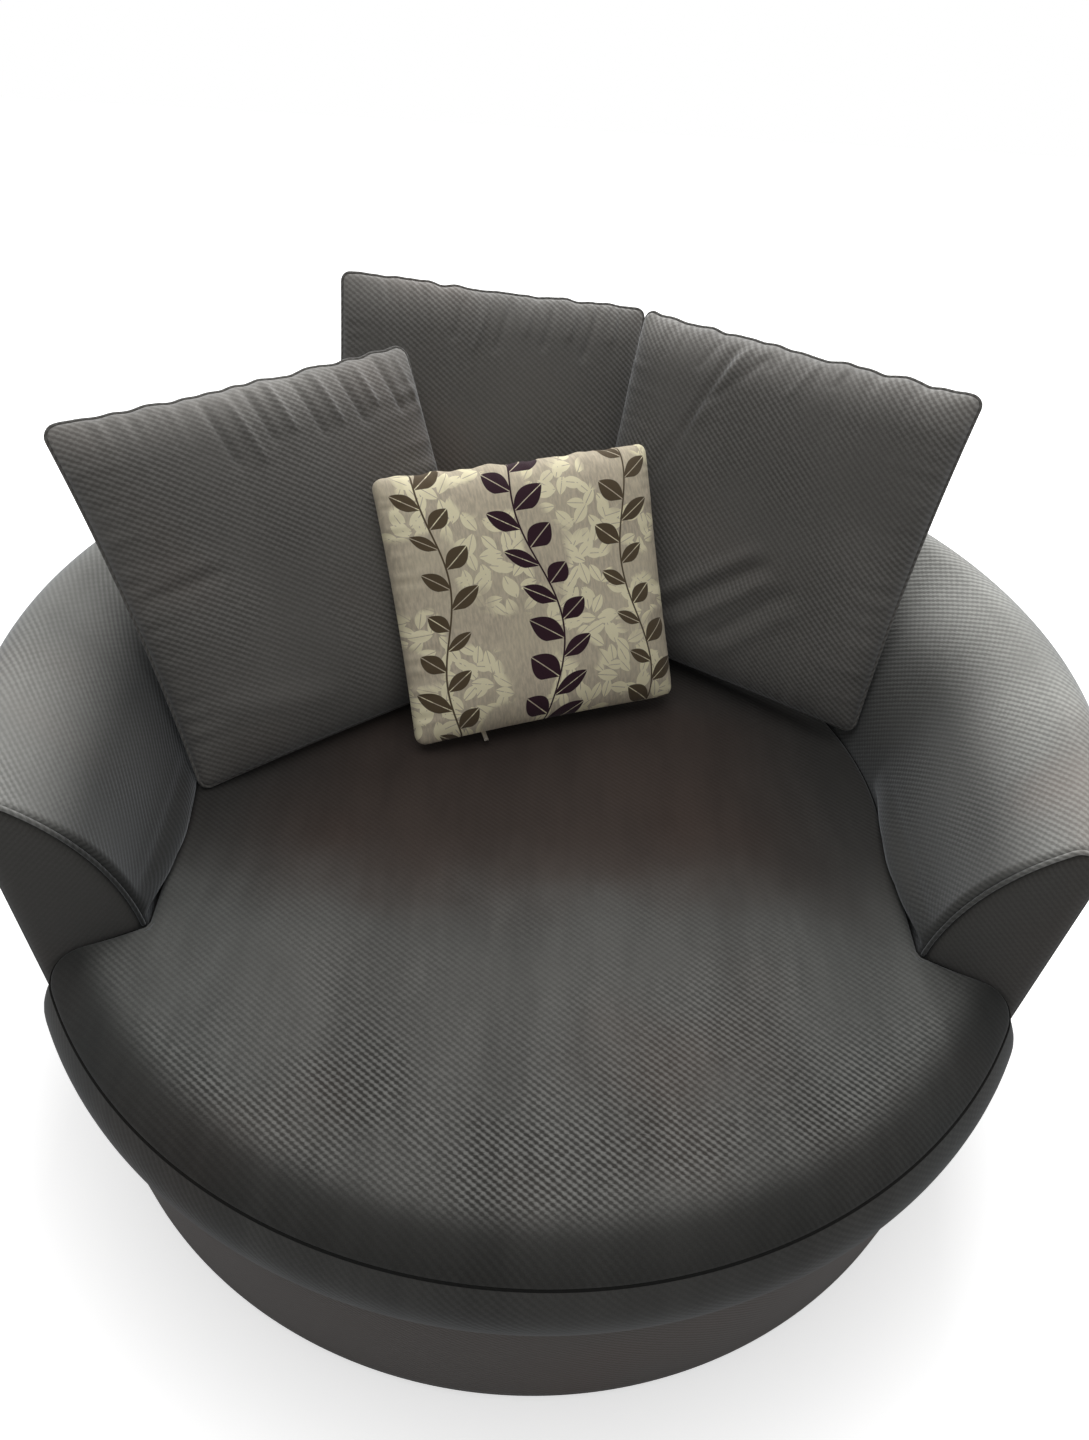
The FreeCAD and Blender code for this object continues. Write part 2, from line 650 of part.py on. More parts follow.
def level_wire(half_w, half_h, corner, side, z, draw):
    """Four arcs from corner to corner at one level of a cushion."""
    cx, cy = half_w * corner, half_h * corner
    mx, my = (half_w - draw) * side, (half_h - draw) * side
    corners = [V(-cx, -cy, z), V(cx, -cy, z), V(cx, cy, z), V(-cx, cy, z)]
    middles = [V(0, -my, z), V(mx, 0, z), V(0, my, z), V(-mx, 0, z)]
    edges = []
    for i in range(4):
        edges.append(Part.Arc(corners[i], middles[i], corners[(i + 1) % 4]).toShape())
    return Part.Wire(edges)


def cushion_form(size, inset):
    """Both halves swell from a seam whose sides are drawn in; the corners stay thin."""
    width, height, thickness = size
    half_w, half_h = width / 2 - inset, height / 2 - inset
    rise = thickness / 2 - edge_half
    wires = []
    for level, corner, side in cushion_levels:
        z = edge_half + rise * level - inset
        wires.append(level_wire(half_w, half_h, corner, side, z, draw_in))
    half = Part.makeLoft(wires, True, False)
    seam_face = level_wire(half_w, half_h, 1.0, 1.0, 0, draw_in)
    edge = Part.Face(seam_face).extrude(UP * (edge_half - inset))
    half = half.fuse(edge)
    return half.fuse(half.mirror(V(0, 0, 0), UP)).removeSplitter()


def place_cushion(shape, size, base, turn):
    """Stand the cushion on its lower seam, lean it back and turn it."""
    yaw, lean, roll = turn
    shape = shape.copy()
    shape.translate(V(0, size[1] / 2, 0))
    shape.rotate(V(0, 0, 0), V(1, 0, 0), 90)
    shape.rotate(V(0, 0, 0), V(0, 1, 0), -roll)
    shape.rotate(V(0, 0, 0), V(1, 0, 0), -lean)
    shape.rotate(V(0, 0, 0), UP, yaw)
    shape.translate(V(*base))
    return shape


def loose_cushion(name, size, base, turn):
    outside = cushion_form(size, 0)
    cover = outside.cut(cushion_form(size, fabric))
    filling = cushion_form(size, fabric + seat_gap)
    save(f"{name}_cover", [place_cushion(cover, size, base, turn)])
    save(f"{name}_filling", [place_cushion(filling, size, base, turn)])


def zip_pull():
    """A slim pull that hangs forward from the zip in the patterned cushion's lower seam."""
    size, base, turn = cushions["patterned_cushion"]
    tag = Part.makeBox(pull_w, pull_h, pull_t, V(-pull_w / 2, -pull_h, -pull_t / 2))
    tag.rotate(V(0, 0, 0), V(1, 0, 0), turn[1] + pull_drop - 90)
    seam = -size[1] / 2 + draw_in * (1 - (2 * pull_place) ** 2)
    tag.translate(V(-size[0] * pull_place, seam - pull_gap, 0))
    save("zip_pull", [place_cushion(tag, size, base, turn)])


os.makedirs("parts", exist_ok=True)
plinth()
turntable_plates()
turntable_balls()
kingpin()
bottom_board()
drum()
deck()
arms_and_back()
facings()
seat_cushion()
for name, (size, base, turn) in cushions.items():
    loose_cushion(name, size, base, turn)
zip_pull()
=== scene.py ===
import json
import math

import bmesh
import bpy
from bpy.props import FloatProperty, FloatVectorProperty
from bpy.types import Operator, Panel, PropertyGroup
from mathutils import Matrix, Vector, noise


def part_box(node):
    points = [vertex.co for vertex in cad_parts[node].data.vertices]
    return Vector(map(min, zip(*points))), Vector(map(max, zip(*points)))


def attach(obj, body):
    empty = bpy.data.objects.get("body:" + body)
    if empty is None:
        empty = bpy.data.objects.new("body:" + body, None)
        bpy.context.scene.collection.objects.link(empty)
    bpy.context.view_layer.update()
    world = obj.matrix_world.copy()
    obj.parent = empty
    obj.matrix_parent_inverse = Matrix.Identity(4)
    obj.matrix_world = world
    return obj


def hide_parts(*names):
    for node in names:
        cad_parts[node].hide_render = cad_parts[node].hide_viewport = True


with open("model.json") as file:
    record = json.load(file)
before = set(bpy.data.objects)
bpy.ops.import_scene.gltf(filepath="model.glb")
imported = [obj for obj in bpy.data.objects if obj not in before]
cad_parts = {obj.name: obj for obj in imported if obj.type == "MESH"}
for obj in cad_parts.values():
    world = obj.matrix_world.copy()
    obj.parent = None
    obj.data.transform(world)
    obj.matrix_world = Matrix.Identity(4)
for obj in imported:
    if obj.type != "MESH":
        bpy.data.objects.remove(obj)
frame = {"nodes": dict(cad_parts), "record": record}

bl_info = {
    "name": "Round Swivel Chair",
    "version": (1, 0, 0),
    "blender": (4, 5, 0),
    "location": "3D View > Sidebar > Chair",
    "description": "Upholstery, loose cushions and finishes of a round swivel chair",
    "category": "Add Mesh",
}

UP = Vector((0, 0, 1))
CLOTH_MAP = "cloth"
TURN = 2 * math.pi
CORD_GAP = 0.0003  # clearance beside the piping on the arms

# Sizes and colours


def length(name, description, default):
    return FloatProperty(name=name, description=description, default=default, unit="LENGTH")


def colour(name, description, default):
    return FloatVectorProperty(
        name=name, description=description, default=default, subtype="COLOR", size=3, min=0, max=1
    )


def corner_sizes(name, description, default):
    return FloatVectorProperty(name=name, description=description, default=default, unit="LENGTH", size=3)


def bearing(name, description, degrees):
    default = math.radians(degrees)
    return FloatProperty(name=name, description=description, default=default, subtype="ANGLE")


def turns(name, description, degrees):
    default = [math.radians(angle) for angle in degrees]
    return FloatVectorProperty(name=name, description=description, default=default, subtype="EULER", size=3)


class ArmSizes(PropertyGroup):
    """The radial section of the arms and back."""

    opening_r: length("Opening radius", "Radius of the seat opening behind", 0.530)
    opening_front_half: length("Opening half width", "Half of the seat opening between the arm ends", 0.522)
    opening_front_y: length("Opening reach", "How far the arms run in front of the middle", 0.286)
    arm_end: bearing("Arm end", "Azimuth of the arm's face", -28.7)
    shoulder_z: length("Shoulder height", "Height where the slope leaves the upright wall", 0.420)
    rim_r: length("Rim radius", "Radius of the rim's middle behind", 0.710)
    rim_z: length("Rim height", "Height of the rim's middle behind", 0.672)
    rim_round: length("Rim rounding", "Radius of the rolled rim behind", 0.035)
    rim_end_r: length("Rim radius, front", "Radius of the rim's middle at the arm's face", 0.721)
    rim_end_z: length("Rim height, front", "Height of the rim's middle at the arm's face", 0.667)
    rim_end_round: length("Rim rounding, front", "Radius of the rolled rim at the arm's face", 0.024)
    slope_end: bearing("Slope end", "Turn at which the slope meets the rim behind", 129)
    slope_end_front: bearing("Slope end, front", "Turn where slope and rim meet at the arm's face", 141)
    outer_low_r: length("Outer radius, low", "Radius of the outer wall at its foot", 0.728)
    foot_z: length("Foot height", "Lower edge of the arms' cloth", 0.2998)
    wrap_t: length("Wrap thickness", "Thickness of the padded wrap", 0.018)
    cloth_t: length("Cloth thickness", "Thickness of the charcoal cloth", 0.0025)
    piping_r: length("Piping radius", "Radius of the corded trim", 0.003)


class SeatSizes(PropertyGroup):
    """The seat cushion."""

    gap: length("Gap", "Clearance to the arms", 0.002)
    edge_r: length("Seam radius", "Radius of the upper seam in front", 0.727)
    edge_z: length("Seam height", "Height of the upper seam in front", 0.402)
    bulge_r: length("Bulge radius", "Radius of the front band at its fullest", 0.745)
    bulge_z: length("Bulge height", "Height of the front band's fullest place", 0.352)
    low_r: length("Lower radius", "Radius of the front band's foot", 0.734)
    low_z: length("Lower height", "Height of the underside", 0.3001)
    crown_z: length("Crown height", "Height of the cushion's middle", 0.430)
    roll: length("Roll width", "Width of the roll from the crown down to the front seam", 0.055)
    roll_z: length("Roll height", "Height where the crown turns down", 0.426)
    side_round: length("Side rounding", "Rounding of the upper edge along the arms", 0.014)
    ear_round: length("Ear rounding", "Radius of the corners in front of the arms", 0.040)


class CushionSizes(PropertyGroup):
    """The loose cushions: their sizes, the foot of the lower seam, and yaw, lean and roll."""

    left_size: corner_sizes("Left size", "Width, height and thickness", (0.550, 0.550, 0.140))
    left_base: corner_sizes("Left base", "Middle of the lower seam", (-0.3050, 0.1185, 0.4336))
    left_turn: turns("Left turn", "Yaw, lean and roll", (37.0, 29.0, 0.8))
    right_size: corner_sizes("Right size", "Width, height and thickness", (0.550, 0.550, 0.130))
    right_base: corner_sizes("Right base", "Middle of the lower seam", (0.2871, 0.2931, 0.4428))
    right_turn: turns("Right turn", "Yaw, lean and roll", (-36.2, 20.5, 2.7))
    centre_size: corner_sizes("Centre size", "Width, height and thickness", (0.500, 0.560, 0.105))
    centre_base: corner_sizes("Centre base", "Middle of the lower seam", (-0.1315, 0.4352, 0.4600))
    centre_turn: turns("Centre turn", "Yaw, lean and roll", (15.2, 22.0, -7.4))
    patterned_size: corner_sizes("Patterned size", "Width, height and thickness", (0.448, 0.423, 0.110))
    patterned_base: corner_sizes("Patterned base", "Middle of the lower seam", (0.0121, 0.1447, 0.4444))
    patterned_turn: turns("Patterned turn", "Yaw, lean and roll", (19.4, 31.3, 1.2))
    draw_in: length("Draw-in", "How far each side pulls in between its corners", 0.004)
    edge_half: length("Seam half thickness", "Half thickness at the seam", 0.004)


class ClothColours(PropertyGroup):
    """The cloths."""

    pit: colour("Weave pits", "Dark of the charcoal weave", (0.022, 0.0225, 0.021))
    nub: colour("Weave nubs", "Light of the charcoal weave", (0.118, 0.119, 0.113))
    worn: colour("Worn tint", "Warm tint where the cloth is rubbed", (0.072, 0.052, 0.043))
    ground: colour("Print ground", "Ground of the printed cloth", (0.62, 0.54, 0.41))
    cream: colour("Print cream", "Pale foliage of the print", (1.0, 0.92, 0.64))
    olive: colour("Print olive", "Brown-green sprigs of the print", (0.105, 0.075, 0.042))
    aubergine: colour("Print aubergine", "Dark sprigs of the print", (0.030, 0.009, 0.017))
    nub_pitch: length("Nub pitch", "Distance between the weave's nubs along a row", 0.0115)
    row_pitch: length("Row pitch", "Distance between two like rows of nubs", 0.0092)


class StageSizes(PropertyGroup):
    """The camera and the floor."""

    camera_place: corner_sizes("Camera place", "Where the camera stands", (-0.034, -1.202, 1.569))
    camera_turn: turns("Camera turn", "Yaw, pitch down and roll", (1.65, 39.76, 3.56))
    lens: FloatProperty(
        name="Lens", description="Focal length on a 36 mm frame", default=26.7, unit="CAMERA"
    )
    floor_size: length("Floor size", "Side of the floor", 14.0)


# Geometry helpers


def lerp(start, end, share):
    return start + (end - start) * share


def smooth(share):
    share = min(max(share, 0.0), 1.0)
    return share * share * (3 - 2 * share)


def add_grid(mesh, columns, rows, place, flip=False):
    """Add a grid and carry each vertex to place(u, v), its point and its cloth coordinates in metres."""
    made = bmesh.ops.create_grid(mesh, x_segments=columns, y_segments=rows, size=0.5)["verts"]
    cloth = mesh.loops.layers.uv.verify()
    placed = {vertex: place(vertex.co.x + 0.5, vertex.co.y + 0.5) for vertex in made}
    faces = {face for vertex in made for face in vertex.link_faces}
    for face in faces:
        face.smooth = True
        for corner in face.loops:
            corner[cloth].uv = placed[corner.vert][1]
    for vertex, (point, _) in placed.items():
        vertex.co = point
    if flip:
        bmesh.ops.reverse_faces(mesh, faces=list(faces))


def open_edges(mesh):
    return [edge for edge in mesh.edges if edge.is_boundary]


def close_seams(mesh, distance=0.00002):
    bmesh.ops.remove_doubles(mesh, verts=mesh.verts, dist=distance)


def tube(mesh, path, steps, radius, up, sides=10):
    """A cord along path(share), turned about its own line from the direction up(share)."""
    reach = 0.0
    lengths = [0.0]
    for step in range(steps):
        reach += (path((step + 1) / steps) - path(step / steps)).length
        lengths.append(reach)
    ease = 0.25 / steps

    def place(u, v):
        here = path(u)
        along = (path(min(u + ease, 1)) - path(max(u - ease, 0))).normalized()
        side = along.cross(up(u)).normalized()
        angle = TURN * v
        out = side * math.cos(angle) + side.cross(along) * math.sin(angle)
        return here + out * radius, (lengths[round(u * steps)], radius * angle)

    add_grid(mesh, steps, sides, place)


def add_object(name, data):
    made = bpy.data.objects.new(name, data)
    bpy.context.scene.collection.objects.link(made)
    return made


def make_piece(mesh, name, material, body, nodes):
    """Turn a mesh into an object that rides on a body and stands for the given nodes."""
    data = bpy.data.meshes.new(name)
    mesh.loops.layers.uv.verify()
    mesh.to_mesh(data)
    mesh.free()
    data.uv_layers[0].name = CLOTH_MAP
    piece = add_object(name, data)
    data.materials.append(bpy.data.materials[material])
    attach(piece, body)
    if nodes:
        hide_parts(*nodes)
    return piece


def finish_closed(mesh):
    close_seams(mesh)
    bmesh.ops.recalc_face_normals(mesh, faces=mesh.faces)


def put_in_order(mesh):
    """Sort vertices and faces along a slanting line; an extrusion's own order changes between runs."""
    line = Vector((1.0, 2.7183, 3.1416))
    mesh.verts.sort(key=lambda vertex: vertex.co.dot(line))
    mesh.faces.sort(key=lambda face: face.calc_center_median().dot(line))


# Arm and back section


class ArmSection:
    """The radial section of the arms and back at an azimuth, from the seat side over the rim."""

    def __init__(self, sizes, azimuth):
        azimuth = min(azimuth, math.pi - azimuth)
        front = min(azimuth, 0.0)
        share = (front / sizes.arm_end) ** 2
        taper = (sizes.opening_r - sizes.opening_front_half) / sizes.opening_front_y
        self.sizes = sizes
        self.inner_r = sizes.opening_r / (math.cos(front) - taper * math.sin(front))
        rim_z = lerp(sizes.rim_z, sizes.rim_end_z, share)
        self.rim = Vector((lerp(sizes.rim_r, sizes.rim_end_r, share), rim_z))
        self.round = lerp(sizes.rim_round, sizes.rim_end_round, share)
        self.slope_end = lerp(sizes.slope_end, sizes.slope_end_front, share)
        normal = Vector((math.cos(self.slope_end), math.sin(self.slope_end)))
        top = self.rim + normal * self.round
        across = Vector((self.inner_r, sizes.shoulder_z)) - top
        self.slope_r = -across.length_squared / (2 * across.dot(normal))
        self.centre = top - normal * self.slope_r
        low = Vector((self.inner_r, sizes.shoulder_z)) - self.centre
        self.low_turn = math.atan2(low.y, low.x) % TURN

    def on_slope(self, turn, inset):
        return self.centre + Vector((math.cos(turn), math.sin(turn))) * (self.slope_r - inset)

    def on_rim(self, turn, inset):
        return self.rim + Vector((math.cos(turn), math.sin(turn))) * (self.round - inset)

    def outer(self, z, inset):
        """The outer wall's radius and height."""
        low_z = 0.300
        share = (z - low_z) / (self.rim.y - low_z)
        return Vector((lerp(self.sizes.outer_low_r, self.rim.x + self.round, share) - inset, z))

    def stretches(self, inset):
        """The lengths of the upright wall, the slope and the rolled rim."""
        upright = self.on_slope(self.low_turn, inset).y - self.sizes.foot_z
        slope = abs(self.slope_end - self.low_turn) * (self.slope_r - inset)
        return upright, slope, self.slope_end * (self.round - inset)

    def at(self, go, inset):
        """The point a distance up the seat side, over the slope and round the rim."""
        upright, slope, rim = self.stretches(inset)
        if go < upright:
            return Vector((self.on_slope(self.low_turn, inset).x, self.sizes.foot_z + go))
        if go < upright + slope:
            return self.on_slope(lerp(self.low_turn, self.slope_end, (go - upright) / slope), inset)
        return self.on_rim(self.slope_end * (1 - (go - upright - slope) / rim), inset)

    def along(self, share, inset):
        """A point a share of the way from the seat side's foot to the rim's widest place, and how far."""
        go = share * sum(self.stretches(inset))
        return self.at(go, inset), go


def arm_axes(sizes, left=False):
    """Along the arm's face, away from the middle, and forward from it."""
    along = Vector((math.cos(sizes.arm_end), math.sin(sizes.arm_end), 0))
    forward = Vector((math.sin(sizes.arm_end), -math.cos(sizes.arm_end), 0))
    if left:
        along.x, forward.x = -along.x, -forward.x
    return along, forward


def arm_azimuth(sizes, u):
    """Azimuth a share of the way from the right arm's face to the left one's."""
    return lerp(sizes.arm_end, math.pi - sizes.arm_end, u)


def around_arms(sizes, u, radius, depth):
    """The same, starting a depth behind the face."""
    start = sizes.arm_end + math.asin(depth / radius)
    return lerp(start, math.pi - start, u)


def polar(radius, azimuth, z):
    return Vector((radius * math.cos(azimuth), radius * math.sin(azimuth), z))


# Materials


class Signal:
    """A number that runs between a material's nodes and takes ordinary arithmetic."""

    def __init__(self, finish, socket):
        self.finish = finish
        self.socket = socket

    def __add__(self, other):
        return self.finish.math("ADD", self, other)

    def __sub__(self, other):
        return self.finish.math("SUBTRACT", self, other)

    def __rsub__(self, other):
        return self.finish.math("SUBTRACT", other, self)

    def __mul__(self, other):
        return self.finish.math("MULTIPLY", self, other)

    def __truediv__(self, other):
        return self.finish.math("DIVIDE", self, other)

    def __gt__(self, other):
        return self.finish.math("GREATER_THAN", self, other)

    def __lt__(self, other):
        return self.finish.math("LESS_THAN", self, other)

    def __abs__(self):
        return self.finish.math("ABSOLUTE", self)

    def sine(self):
        return self.finish.math("SINE", self)

    def cosine(self):
        return self.finish.math("COSINE", self)

    def wave(self, span):
        """A sine that swings once in a span."""
        return (self * (TURN / span)).sine()


class Finish:
    """Shorthand for one material's nodes."""

    def __init__(self, name):
        self.material = bpy.data.materials.new(name)
        self.material.use_nodes = True
        self.tree = self.material.node_tree
        self.shader = self.tree.nodes["Principled BSDF"]

    def node(self, kind, **settings):
        made = self.tree.nodes.new("ShaderNode" + kind)
        for key, value in settings.items():
            setattr(made, key, value)
        return made

    def feed(self, socket, value):
        if isinstance(value, Signal):
            value = value.socket
        if isinstance(value, bpy.types.NodeSocket):
            self.tree.links.new(value, socket)
        else:
            socket.default_value = value

    def fed(self, made, *values):
        """A node's first output, with its first inputs fed."""
        for socket, value in zip(made.inputs, values):
            self.feed(socket, value)
        return made.outputs[0]

    def math(self, operation, *values):
        return Signal(self, self.fed(self.node("Math", operation=operation), *values))

    def vector(self, operation, *values):
        return self.fed(self.node("VectorMath", operation=operation), *values)

    def scaled(self, vector, factors):
        return self.vector("MULTIPLY", vector, factors)

    def split(self, vector):
        made = self.node("SeparateXYZ")
        self.feed(made.inputs[0], vector)
        return [Signal(self, part) for part in made.outputs]

    def joined(self, x, y):
        return self.fed(self.node("CombineXYZ"), x, y)

    def noise(self, vector, scale, detail=2.0, roughness=0.5):
        made = self.node("TexNoise")
        settings = {"Vector": vector, "Scale": scale, "Detail": detail, "Roughness": roughness}
        for key, value in settings.items():
            self.feed(made.inputs[key], value)
        return Signal(self, made.outputs["Fac"])

    def ramp(self, value, low, high, start=0.0, end=1.0):
        made = self.node("MapRange", interpolation_type="SMOOTHSTEP")
        return Signal(self, self.fed(made, value, low, high, start, end))

    def mix(self, share, first, second):
        made = self.node("Mix", data_type="RGBA")
        self.feed(made.inputs[0], share)
        for socket, value in zip((made.inputs[6], made.inputs[7]), (first, second)):
            if not isinstance(value, bpy.types.NodeSocket):
                value = (*value, 1.0)
            self.feed(socket, value)
        return made.outputs[2]

    def shade(self, colour, share):
        """The colour made darker or lighter by a share."""
        made = self.node("VectorMath", operation="SCALE")
        self.feed(made.inputs[0], colour)
        self.feed(made.inputs["Scale"], share)
        return made.outputs[0]

    def bump(self, height, distance, strength):
        made = self.node("Bump")
        settings = {"Strength": strength, "Distance": distance, "Height": height}
        for key, value in settings.items():
            self.feed(made.inputs[key], value)
        return made.outputs[0]

    def distance(self, x, y):
        return self.math("SQRT", x * x + y * y)

    def place(self):
        return self.node("TexCoord").outputs["Object"]

    def cloth(self):
        return self.node("UVMap", uv_map=CLOTH_MAP).outputs["UV"]


def shader_inputs(finish, settings):
    for key, value in settings.items():
        if isinstance(value, tuple) and len(value) == 3:
            value = (*value, 1.0)
        finish.feed(finish.shader.inputs[key], value)
    return finish.material


def blend(first, second, share):
    return tuple(lerp(a, b, share) for a, b in zip(first, second))


def chenille(name, colours, tone, contrast=0.5, sheen=0.35):
    """Chenille: rows of raised nubs; tone(finish, place, cloth) gives its lightness, painted light and
    shade included, its relief and warmth.
    """
    finish = Finish(name)
    cloth, place = finish.cloth(), finish.place()
    drift = finish.noise(place, 9.0)
    wander = finish.vector("ADD", cloth, finish.joined(drift * 0.012, drift * -0.009))
    u, v, _ = finish.split(wander)
    across = u * (TURN / colours.nub_pitch)
    up = v * (TURN / colours.row_pitch)
    yarn = finish.noise(finish.scaled(wander, (0.7, 2.0, 1.0)), 330.0, 2.0, 0.6) - 0.5
    uneven = finish.noise(wander, 95.0) - 0.5
    weave = across.cosine() * up.cosine() * 0.8 + (across + up).cosine() * 0.6
    height = finish.ramp(weave + yarn * 1.9 + uneven * 1.7, -1.1, 1.25)
    # The lightness holds the painted light and shade that the tone puts in.
    lightness, depth, tint = tone(finish, place, cloth)
    patches = finish.noise(place, 5.5, 3.0, 0.55)
    depth = finish.ramp(patches, 0.34, 0.62, 0.45 * contrast, 1.1 * contrast) * depth
    pit, nub = tuple(colours.pit), tuple(colours.nub)
    shade = finish.mix(depth, blend(pit, nub, 0.42), finish.mix(height, pit, nub))
    warm = finish.ramp(finish.noise(place, 2.6), 0.50, 0.74, -0.06, 0.20) + tint
    shade = finish.mix(warm, shade, tuple(colours.worn))
    fibre = finish.ramp(finish.noise(place, 900.0, 1.0), 0.2, 0.8, 0.88, 1.12)
    return shader_inputs(finish, {
        "Base Color": finish.shade(shade, fibre * lightness),
        "Roughness": 0.92,
        "Specular IOR Level": 0.12,
        "Sheen Weight": sheen,
        "Sheen Roughness": 0.45,
        "Sheen Tint": (0.86, 0.90, 0.95),
        "Normal": finish.bump(height * depth, 0.0018, 0.7),
    })


def nap(finish, place, low, high):
    """Slow change of lightness where the pile lies one way or another."""
    return finish.ramp(finish.noise(place, 3.4), 0.3, 0.7, low, high)


def arm_painted_sheen_tone(finish, place, cloth):
    """Painted sheen: lighter up the slope, with a painted highlight towards the rim, a little more so on
    the right.
    """
    x, _, z = finish.split(place)
    side = 0.45
    # Painted light: lighter higher up the slope and on the right side.
    slope = finish.ramp(z, 0.44, 0.64, 0.72, 1.55) * finish.ramp(x, -side, side, 0.66, 1.22)
    # Painted highlight towards the rim, a little less on the left.
    rim = finish.ramp(z, 0.585, 0.70, 0.0, 4.3) * finish.ramp(x, -side, side, 0.85, 1.0)
    return (slope + rim) * nap(finish, place, 0.84, 1.14), 0.62, 0.10


def cushion_painted_highlight_tone(finish, place, cloth):
    """Painted highlight along the upper seam, over a lightness set for the cushions."""
    _, up, _ = finish.split(cloth)
    return finish.ramp(up, 0.19, 0.285, 2.05, 4.2) * nap(finish, place, 0.90, 1.12), 0.8, 0.22


def seat_lit_and_shaded_tone(finish, place, cloth):
    """Painted shade in the middle behind, where the cushions stand over it, and a smoother weave there
    where it is sat on; painted light and a knobbly weave in front; painted shade again down the roll.
    """
    x, y, z = finish.split(place)
    wave = (finish.noise(place, 4.0, 3.0) - 0.5) * 0.22
    front = finish.ramp(y + wave, -0.02, -0.42)
    roll = finish.ramp(finish.distance(x, y), 0.630, 0.705)
    band = finish.ramp(z, 0.405, 0.398)
    # Painted light in front and painted shade behind and down the roll; the band below the seam keeps a set
    # lightness.
    top = finish.ramp(front, 0.0, 1.0, 0.62, 1.80) * finish.ramp(roll, 0.0, 1.0, 1.0, 0.34)
    streaks = finish.noise(finish.scaled(place, (14.0, 3.5, 1.0)), 1.0, 3.0, 0.6)
    light = (top * (1.0 - band) + band * 0.95) * finish.ramp(streaks, 0.3, 0.7, 0.88, 1.12)
    knobbly = finish.ramp(y + wave, -0.26, -0.58, 0.35, 1.7)
    depth = knobbly * finish.ramp(roll, 0.0, 1.0, 1.0, 0.15)
    behind = finish.ramp(y - wave, 0.34, 0.14, 0.25, 1.0)
    beside = finish.ramp(abs(x), 0.24, 0.50, 1.0, 0.25)
    return light, depth, finish.ramp(front, 0.0, 0.75, 0.95, 0.14) * (behind * beside)


def plain_tone(share, depth, tint=0.1):
    return lambda finish, place, cloth: (share, depth, tint)


def leaf(finish, along, across, reach, half_width):
    """The mask of a pointed leaf that runs from the origin, and a mask that leaves out its midrib."""
    share = along / reach
    inside = (share > 0.0) * (share < 1.0)
    held = finish.math("MAXIMUM", finish.math("MINIMUM", share, 1.0), 0.0)
    belly = finish.math("POWER", (held * math.pi).sine(), 0.8)
    spread = abs(across)
    body = finish.ramp(belly * half_width - spread, 0.0, 0.0006)
    return body * inside, finish.ramp(spread, 0.0004, 0.0009)


def sprig(finish, u, v, middle, sway, sway_length, pitch, lean, reach, half_width, seed):
    """A swaying stem with leaves in turn to each side: its mask, and one that leaves out the midribs."""
    off = u - middle - (v * (TURN / sway_length) + seed).sine() * sway
    side = off > 0.0
    spread = abs(off)
    climbed = v + (3.0 + seed * 0.01) + side * (pitch / 2)
    row = finish.math("FLOOR", climbed / pitch)
    rise = climbed - row * pitch
    chance = finish.node("TexWhiteNoise", noise_dimensions="2D")
    finish.feed(chance.inputs["Vector"], finish.joined(row, side + seed))
    size = finish.ramp(chance.outputs["Value"], 0.0, 1.0, 0.72, 1.0)
    along = spread * math.sin(lean) + rise * math.cos(lean)
    across = spread * math.cos(lean) - rise * math.sin(lean)
    leaves, rib = leaf(finish, along, across, size * reach, size * half_width)
    stem = finish.ramp(spread, 0.0011, 0.0018, 1.0, 0.0)
    return finish.math("MAXIMUM", stem, leaves), finish.math("MAXIMUM", rib, stem)


def scattered_leaves(finish, cloth, scale, reach, half_width):
    """Pale loose leaves, one to a cell, each turned its own way."""
    cells = finish.node("TexVoronoi", voronoi_dimensions="2D", feature="F1")
    for key, value in {"Vector": cloth, "Scale": scale, "Randomness": 0.8}.items():
        finish.feed(cells.inputs[key], value)
    x, y, _ = finish.split(finish.vector("SUBTRACT", cloth, cells.outputs["Position"]))
    chance, _, _ = finish.split(cells.outputs["Color"])
    angle = chance * TURN
    cosine, sine = angle.cosine(), angle.sine()
    along = x * cosine + y * sine + reach / 2
    return leaf(finish, along, y * cosine - x * sine, reach, half_width)


